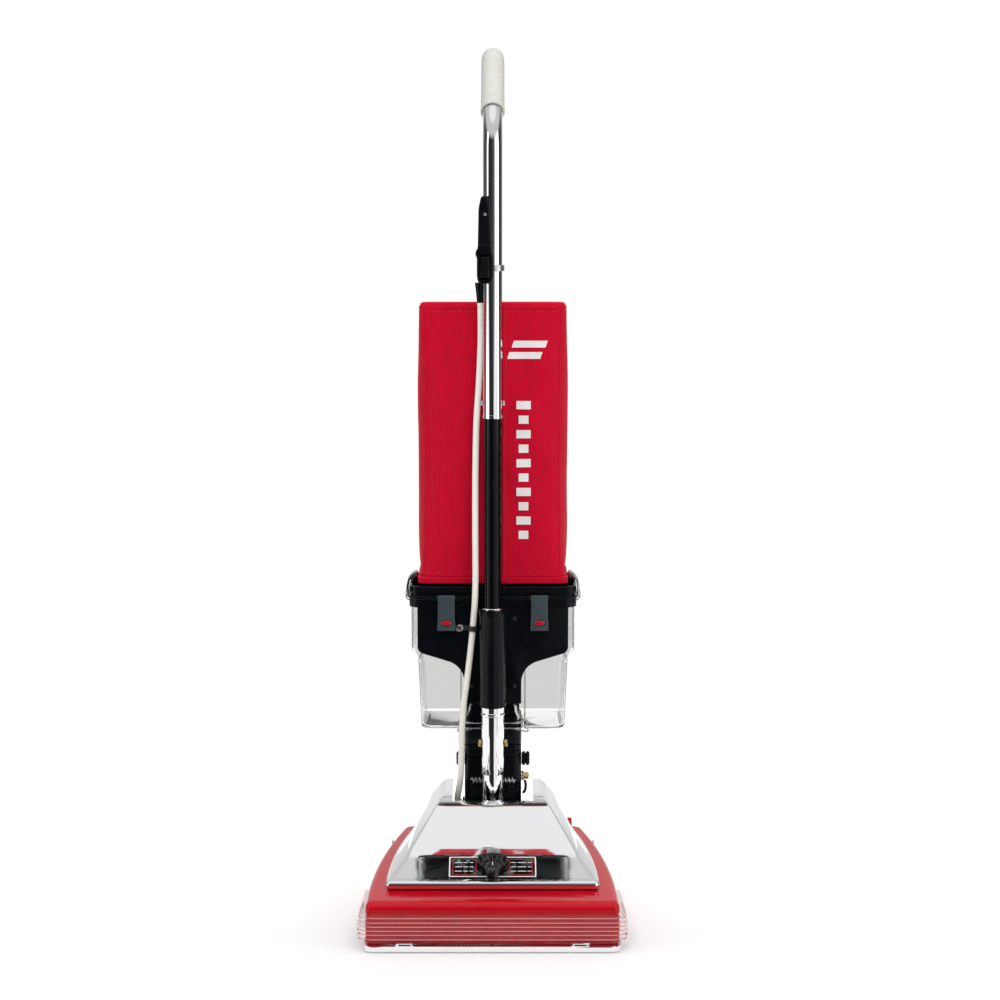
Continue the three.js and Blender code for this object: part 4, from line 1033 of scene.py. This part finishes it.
def build_latches():
    for side, s in SIDES:
        x = s * LATCH_X
        profile = fillet([(220, 425), (219.9, 386), (218.6, 379), (218.9, 377), (223.6, 377), (224.8, 383),
                          (225.2, 425)], [1.6, 8, 1.4, 0.8, 1, 3, 1.6], 5)
        leaf = prism("x", profile, x - 12, x + 12)
        bevel(leaf, 0.8, 3, 50)
        tapers = []
        for e in (-1, 1):
            outline = [(x + e * 13, 426), (x + e * 11.2, 426), (x + e * 11.4, 392), (x + e * 13, 380)]
            tapers.append(prism("y", outline, 210, 230))
        recess = prism("y", [(a, z) for a, _, z in oval(x, 0, 8, 5)], 210, 220.9)
        cut(leaf, *tapers, recess)
        pin = rod("x", 1.5, x - 15, x + 15, LATCH_Y, LATCH_Z, 24)
        stand_for(join(leaf, pin), f"latch_{side}")
        domed = ((1, 220.95), (1, 220.4), (0.9, 219.9), (0.6, 219.5), (0.05, 219.4))
        lens = loft([oval(x, y, r * 7, r * 3.4) for r, y in domed])
        trim(lens, f"latch_mark_{side}", f"latch_{side}", "red_shell", "red_lens")


def build_side_clips():
    for side, s in SIDES:
        leaf = [(113.4, 436.4), (103.4, 439), (102.4, 446), (105.6, 447.6), (111.4, 443.4), (116, 437),
                (117.8, 429), (118.2, 423), (116.8, 415), (114.6, 411.4), (113.4, 412), (114.8, 417),
                (115.4, 424), (114.2, 430)]
        clip = prism("y", fillet([(s * x, z) for x, z in leaf], 1.2, 4), 280, 302)
        stand_for(bevel(clip, 0.3), f"side_clip_{side}")
        hook = [(s * 109, 282, 411), (s * 114, 281.6, 408.6), (s * 117.6, 282, 411.4), (s * 118.2, 284, 417),
                (s * 117.6, 287, 422)]
        behind = [(x, 2 * 291 - y, z) for x, y, z in hook]
        wires = [sweep(spline(path, 6), 1.1, 10) for path in (hook, behind)]
        trim(group(wires), f"side_clip_wire_{side}", f"side_clip_{side}", "chrome")


def cup_ring(half, inset, z, radius=12):
    return at_height(rectangle(half, 240 + inset, 352 - inset, radius, 10), z)


def cup_recess(grow):
    return prism("z", rectangle(42 + grow, 200, 292.6 + grow, [0.2, 0.2, 4, 4], 6), 200, 450)


def build_dust_cup():
    levels = [(94, 5, 238), (95.8, 3.2, 238.6), (96.8, 2.3, 240.2), (97.1, 2, 243), (101, 0.6, 331),
              (101.7, 0.5, 334), (109, 0.1, 345), (110, 0, 348), (110, 0, 406.6)]
    outside = loft([cup_ring(half, inset, z) for half, inset, z in soften(levels, 2.5, 4)])
    levels = [(94, 5, 240.2), (96.9, 2.2, 242.4), (97.2, 2, 244.4), (101, 0.6, 331), (110, 0, 347.6),
              (110, 0, 420)]
    inner = [(half - CUP_WALL, inset + CUP_WALL, z) for half, inset, z in levels]
    hollow = loft([cup_ring(half, inset, z, 10.5) for half, inset, z in soften(inner, 2, 4)])
    cut(outside, cup_recess(0))
    cut(hollow, cup_recess(CUP_WALL))
    cup = cut(outside, hollow)
    stand_for(finish_shading(cup, 30), "dust_cup")
    lines = []
    for s in (-1, 1):
        path = [(s * (94.2 + 0.38 * k), 241.2 - 0.14 * k, 244 + 8.6 * k) for k in range(11)]
        lines.append(sweep(path, 0.9, 10))
    trim(group(lines), "cup_corner_ribs", "dust_cup", "clear_plastic")


# ---------------------------------------------------------------- bag
BAG_LEVELS = [  # half width, back y, z
    (100.6, 348, 438.4), (98.4, 349, 452), (95.4, 344, 520), (94.6, 333, 590), (95.6, 318, 660),
    (97.4, 302, 720), (99.4, 284, 780), (100.4, 272, 806), (99, 262, 816),
]
BAG_FRONT = 237
BAG_PINNED_BELOW, BAG_PINNED_ABOVE = 446, 806
BAG_MOST_SWELL = 7.0
BAG_SEAM_X = (-91.5, 90.5)
BAG_SEAM_Z = [450 + 8.1 * k for k in range(45)]
BAG_BOTTOM_Z, BAG_HEIGHT = 440, 370
CLOTH_FRAMES = 20


def bag_surface(inset):
    levels = soften(BAG_LEVELS, 14, 4)
    rings = []
    for half, back, z in levels:
        corner = min(13, (back - BAG_FRONT) / 3.2)
        outline = rectangle(half - inset, BAG_FRONT + inset, back - inset, corner, 5)
        rings.append(at_height(outline, min(max(z, BAG_LEVELS[0][2]), BAG_LEVELS[-1][2])))
    return loft(rings)


def inflate(obj):
    """Blows the closed cloth up a little, held at its clamped top and bottom."""
    remesh = obj.modifiers.new("remesh", "REMESH")
    remesh.mode = "VOXEL"
    remesh.voxel_size = 0.005
    baked(obj)
    rest = [v.co.copy() for v in obj.data.vertices]
    held = obj.vertex_groups.new(name="held")
    for i, co in enumerate(rest):
        z = co.z / MM
        low = max(0.0, 1 - (z - BAG_PINNED_BELOW) / 14) if z > BAG_PINNED_BELOW else 1.0
        high = max(0.0, 1 - (BAG_PINNED_ABOVE - z) / 12) if z < BAG_PINNED_ABOVE else 1.0
        weight = max(low, high)
        if weight > 0:
            held.add([i], weight, "REPLACE")
    cloth = obj.modifiers.new("cloth", "CLOTH")
    for name, value in {"quality": 6, "mass": 0.25, "tension_stiffness": 12, "compression_stiffness": 12,
                        "bending_stiffness": 0.35, "use_pressure": True, "uniform_pressure_force": 2.6,
                        "vertex_group_mass": "held"}.items():
        setattr(cloth.settings, name, value)
    cloth.settings.effector_weights.gravity = 0
    cloth.collision_settings.use_collision = False
    cloth.point_cache.frame_end = CLOTH_FRAMES
    scene = bpy.context.scene
    for step in range(1, CLOTH_FRAMES + 1):
        scene.frame_set(step)
    baked(obj)
    scene.frame_set(1)
    for vertex, start in zip(obj.data.vertices, rest):
        move = vertex.co - start
        if move.length > BAG_MOST_SWELL * MM:
            vertex.co = start + move.normalized() * BAG_MOST_SWELL * MM
    return obj


def crease(obj):
    """Soft folds that run down the cloth, a slack waist and a hand's worth of dents."""
    from_front = (BAG_FRONT + FRONT) * MM
    for vertex in obj.data.vertices:
        co = vertex.co
        x, z = co.x / MM, co.z / MM
        share = max(0.0, min(1.0, (z - BAG_BOTTOM_Z) / BAG_HEIGHT))
        slack = math.sin(math.pi * share) ** 0.8
        fold = 1.3 * math.sin(0.055 * z + 0.12 * x) + 1.0 * math.sin(0.031 * z - 0.09 * abs(x) + 1.3)
        dent = 1.8 * math.exp(-((x + 83) / 7) ** 2) - 1.7 * math.exp(-((x - 84) / 8) ** 2)
        move = slack * (0.55 * fold + dent)
        if abs(co.y - from_front) < 0.012:
            co.y += move * MM
            limit = (232.4 + FRONT) * MM
            if abs(x) < 34 and co.y < limit:
                co.y = limit
        else:
            co.y += 0.6 * move * MM
            co.x += 0.35 * move * MM * (1 if co.x > 0 else -1)
    obj.data.update()
    return obj


def on_cloth(tree, x, z, lift, back=False):
    """The point of the cloth's front or back at one x and z, lifted off by a hair."""
    way = Vector((0, -1 if back else 1, 0))
    start = Vector((x, (500 if back else 100) + FRONT, z)) * MM
    hit, normal, *_ = tree.ray_cast(start, way)
    if hit is None:
        hit = Vector((x, BAG_FRONT + FRONT, z)) * MM
        normal = -way
    point = hit / MM + normal * lift
    return (point.x, point.y - FRONT, point.z)


def ring_at(tree, z, lift, count=120):
    """A closed loop round the cloth at one height."""
    middle = Vector((0, 252 + FRONT, z)) * MM
    points = []
    for k in range(count):
        angle = 2 * math.pi * k / count
        out = Vector((math.cos(angle), math.sin(angle), 0))
        hit, *_ = tree.ray_cast(middle, out)
        if hit:
            point = hit / MM + out * lift
            points.append((point.x, point.y - FRONT, point.z))
    return points


def build_bag():
    bag = bag_surface(1.5)
    inflate(bag)
    crease(bag)
    smooth = bag.modifiers.new("smooth", "SMOOTH")
    smooth.factor = 0.5
    smooth.iterations = 3
    subdivide = bag.modifiers.new("subdivide", "SUBSURF")
    subdivide.levels = subdivide.render_levels = 1
    baked(bag)
    bag.data.shade_smooth()
    stand_for(bag, "dust_bag")
    tree = BVHTree.FromObject(bag, bpy.context.evaluated_depsgraph_get())
    build_bag_seams(tree)
    build_bag_marks(tree)


def build_bag_seams(tree):
    for name, z, radius in (("bag_top_seam", 809, 1.1), ("bag_hem_seam", 449, 0.9)):
        loop = ring_at(tree, z, 0.2)
        trim(sweep(loop + loop[:2], radius, 10), name, "dust_bag", "red_cloth")
    edges = []
    for x in BAG_SEAM_X:
        inward = -2.4 if x > 0 else 2.4
        path = [on_cloth(tree, x + inward * math.sin(math.pi * k / 44), z, 0.1)
                for k, z in enumerate(BAG_SEAM_Z)]
        edges.append(sweep(path, 0.85, 10))
    edges.append(sweep([on_cloth(tree, 0, z, 0.1, True) for z in BAG_SEAM_Z], 0.85, 10))
    trim(group(edges), "bag_edge_piping", "dust_bag", "red_cloth")
    hem = loft([at_height(rectangle(100.9 - inset, 236.6 + inset, 348.4 - inset, 9), z)
                for inset, z in ((0.6, 438.4), (0, 439), (0, 446.6), (1.4, 447.4))])
    trim(hem, "bag_hem", "dust_bag", "red_cloth")
    placket = [on_cloth(tree, 14.6, 446 + 8.1 * k, 0.3) for k in range(46)]
    trim(sweep(placket, 1.5, 12, flat=0.5), "bag_placket", "dust_bag", "red_cloth")
    stitches = []
    for x in (12.2, 17.2):
        for k in range(78):
            z = 448 + 4.6 * k
            a, b = on_cloth(tree, x, z, 0.15), on_cloth(tree, x, z + 2.7, 0.15)
            middle = (Vector(a) + Vector(b)) / 2 + Vector((0, -0.25, 0))
            stitches.append(sweep([a, middle, b], 0.32, 6))
    for z in (804, 453):
        loop = ring_at(tree, z, 0.12, 220)
        for k in range(0, len(loop) - 1, 2):
            a, b = Vector(loop[k]), Vector(loop[k + 1])
            stitches.append(sweep([a, a.lerp(b, 0.4), a.lerp(b, 0.8)], 0.3, 6))
    trim(group(stitches), "bag_stitches", "dust_bag", "red_cloth", "red_thread")


def cloth_patch(tree, outline):
    """A thin printed patch of four corners (x, z) that follows the cloth."""
    (x0, z0), (x1, z1), (x2, z2), (x3, z3) = outline
    steps = 6
    front, back = [], []
    for j in range(steps + 1):
        for i in range(steps + 1):
            u, v = i / steps, j / steps
            x = (x0 * (1 - u) + x1 * u) * (1 - v) + (x3 * (1 - u) + x2 * u) * v
            z = (z0 * (1 - u) + z1 * u) * (1 - v) + (z3 * (1 - u) + z2 * u) * v
            front.append(on_cloth(tree, x, z, 0.35))
            back.append(on_cloth(tree, x, z, -0.3))
    width = steps + 1
    faces = []
    for j in range(steps):
        for i in range(steps):
            a = j * width + i
            faces.append((a, a + 1, a + width + 1, a + width))
            faces.append(tuple(len(front) + v for v in (a, a + width, a + width + 1, a + 1)))
    inside = range(steps - 1, 0, -1)
    rim = [*range(width), *[j * width + steps for j in range(1, width)],
           *[steps * width + i for i in inside], *[j * width for j in (steps, *inside)]]
    for a, b in zip(rim, rim[1:] + rim[:1]):
        faces.append((a, b, len(front) + b, len(front) + a))
    return make(front + back, faces)


def build_bag_marks(tree):
    """Plain printed stripes and blocks where a bag of this kind carries its print."""
    patches = []
    for row, (start, end) in enumerate(((25, 70), (19, 63))):
        z = 756 - 15 * row
        patches.append(cloth_patch(tree, [(start, z), (end, z), (end + 3, z + 9), (start + 3, z + 9)]))
    for k in range(10):
        x, z, half = 41, 674 - 19.4 * k, (9.5, 6.5)[k % 2]
        patches.append(cloth_patch(tree, four(x - half, x + half, z, z + 11)))
    trim(group(patches), "bag_print", "dust_bag", "cream_grip", "white_print")


def build_hanger():
    wire = spline([(0, 246, 818.8), (0, 243, 823), (0, 240.4, 828), (0, 238, 834)], 6)
    spring = coil(7, 14, lambda share, angle: (
        2.6 * math.cos(angle), 238 - 3.4 * share + 0.6 * math.sin(angle),
        834 + 20 * share + 0.52 * math.sin(angle)))
    rest = spline([(0, 234.6, 854), (0, 234, 858), (0, 233.4, 862)], 5)
    collar = pipe(15.4, UPPER_TUBE + GAP, 858, 866, 0.5, count=72)
    cut(collar, block(-30, -6.2, 180, 240, 840, 880), block(-30, 2.5, 180, 216, 840, 880))
    lug = bevel(block(-3, 3, 229, 235.4, 859, 865), 0.6)
    whole = [collar, lug, sweep(wire, 1.2, 12), sweep(spring, 0.75, 10),
             sweep(rest, 1.2, 12)]
    stand_for(group(whole), "bag_hanger")
    tab = [at_height(rectangle(12 - 3 * k, 240 + k, 254 - 2 * k, 3), 815.2 + 1.6 * k) for k in range(3)]
    trim(loft(tab), "bag_top_tab", "dust_bag", "black_plastic")


# ---------------------------------------------------------------- the rest of the CAD pieces
BEVELS = {"trunnion_bracket": 0.5, "release_pedal": 1.6, "bottom_plate": 0.45, "filter_screen": 0.3}


def build_remaining():
    """Every CAD node that has no piece of its own yet: true shape, broken edges, its material."""
    for node, source in frame["nodes"].items():
        if not source.hide_render:
            stand_for(refine(node, BEVELS.get(node, 0.3)), node)


# ---------------------------------------------------------------- stage
FLOOR_HALF, FLOOR_FRONT, FLOOR_BACK = 1.7, -0.4, 1.0


def build_stage():
    finish = Finish("floor", (0.86, 0.86, 0.86), 0.8, Emission_Color=(1, 1, 1, 1))
    finish.mottle(finish.noise(3), 0.995, 1.005)
    _, y, _ = finish.split(finish.where)
    finish.feed(finish.shader["Emission Strength"], finish.ranged(y, 0.1, 0.65, (-0.1, 0.7)))
    mesh = bpy.data.meshes.new("floor")
    corners = four(-FLOOR_HALF, FLOOR_HALF, FLOOR_FRONT, FLOOR_BACK)
    mesh.from_pydata(at_height(corners, 0), [], [(0, 1, 2, 3)])
    mesh.materials.append(finish.material)
    floor = link("floor", mesh)


# degrees round from the camera's side towards the right, brightness
LEVEL_WITH_EYE = (
    (-180, 0.85), (-165, 0.75), (-150, 0.45), (-125, 0.1), (-68, 0.04), (-63, 0.7), (-57, 0.7), (-52, 0.04),
    (-20, 0.02), (14, 0.1), (24, 0.25), (27, 1.3), (48, 1.3), (54, 0.12), (90, 0.03), (125, 0.1),
    (150, 0.45), (165, 0.75), (180, 0.85),
)
BELOW_EYE = (
    (-180, 0.85), (-150, 0.8), (-138, 0.15), (-84, 0.2), (-79, 0.3), (-77, 4.5), (-72, 4.5), (-70, 1.1),
    (-46, 1.1), (-39, 0.02), (9, 0.02), (15, 1.0), (44, 0.8), (54, 0.5), (57, 0.5), (59, 4.5), (63, 4.5),
    (65, 0.45), (78, 0.4), (90, 0.12), (138, 0.15), (150, 0.8), (180, 0.85),
)


def build_world():
    """A white studio: dark behind the camera, soft boxes beside it, a bright backdrop and ceiling."""
    world = bpy.data.worlds.new("studio")
    bpy.context.scene.world = world
    graph = Graph(world)
    x, y, z = graph.split(graph.coordinate("Generated"))
    turn = graph.math("ARCTAN2", x, graph.math("MULTIPLY", y, -1.0))
    share = graph.math("ADD", graph.math("DIVIDE", turn, 2 * math.pi), 0.5)

    def round_the_room(stops):
        node = graph.node("ValToRGB", {0: share})
        for _ in range(len(stops) - 2):
            node.color_ramp.elements.new(0.5)
        for element, (degrees, value) in zip(node.color_ramp.elements, stops):
            element.position = degrees / 360 + 0.5
            element.color = grey(value)
        return node.outputs[0]

    def grey(value):
        return (value, value, value, 1)

    def above(low, high):
        return graph.ranged(z, 0, 1, (low, high))

    walls = graph.mix(above(-0.1, -0.04), round_the_room(BELOW_EYE), round_the_room(LEVEL_WITH_EYE))
    grey_band = graph.mix(above(0.4, 0.6), walls, grey(0.6))
    ceiling = graph.mix(above(0.84, 0.93), grey_band, grey(0.9))
    seen = graph.node("LightPath", {}).outputs["Is Camera Ray"]
    graph.feed(graph.nodes["Background"].inputs["Color"], graph.mix(seen, ceiling, grey(1.0)))


def area_light(name, where, aim, size, power, mirrored=True):
    data = bpy.data.lights.new(name, "AREA")
    data.shape = "RECTANGLE"
    data.size, data.size_y = size
    data.energy = power
    light = link(name, data)
    light.location = where
    light.rotation_euler = (Vector(aim) - Vector(where)).to_track_quat("-Z", "Y").to_euler()
    light.visible_glossy = mirrored


def build_lights():
    area_light("overhead", (0, -0.2, 2.7), (0, 0.05, 0.3), (2.4, 1.6), 14, False)
    area_light("front_top", (0, -2.4, 2.5), (0, 0, 0.5), (2.2, 0.9), 42, False)
    area_light("left_box", (-2.1, -1.0, 1.3), (0, 0, 0.6), (0.7, 2.0), 7)
    area_light("right_box", (2.1, -0.9, 1.3), (0, 0, 0.6), (0.7, 2.0), 9)


CAMERA_DISTANCE, CAMERA_HEIGHT, CAMERA_ASIDE, LOOKING_DOWN = 3.0, 0.978, 0.0096, 7.5  # metres, degrees


def build_camera():
    data = bpy.data.cameras.new("camera")
    data.sensor_width = 36
    data.lens = 87.84
    camera = link("camera", data)
    camera.location = (CAMERA_ASIDE, FRONT * MM - CAMERA_DISTANCE, CAMERA_HEIGHT)
    camera.rotation_euler = (math.radians(90 - LOOKING_DOWN), 0, 0)
    bpy.context.scene.camera = camera


def build_all():
    build_camera()
    build_world()
    build_lights()
    build_stage()
    bpy.context.scene.view_settings.view_transform = "Standard"
    for build in (build_base, build_guard, build_hood, build_label, build_knob, build_wheels,
                  build_brush_roll, build_bail, build_socket, build_tubes, build_grip, build_switch,
                  build_lead, build_duct, build_clamp, build_duct_fittings, build_cup_frame, build_latches,
                  build_side_clips, build_dust_cup, build_bag, build_hanger, build_remaining):
        build()


build_all()
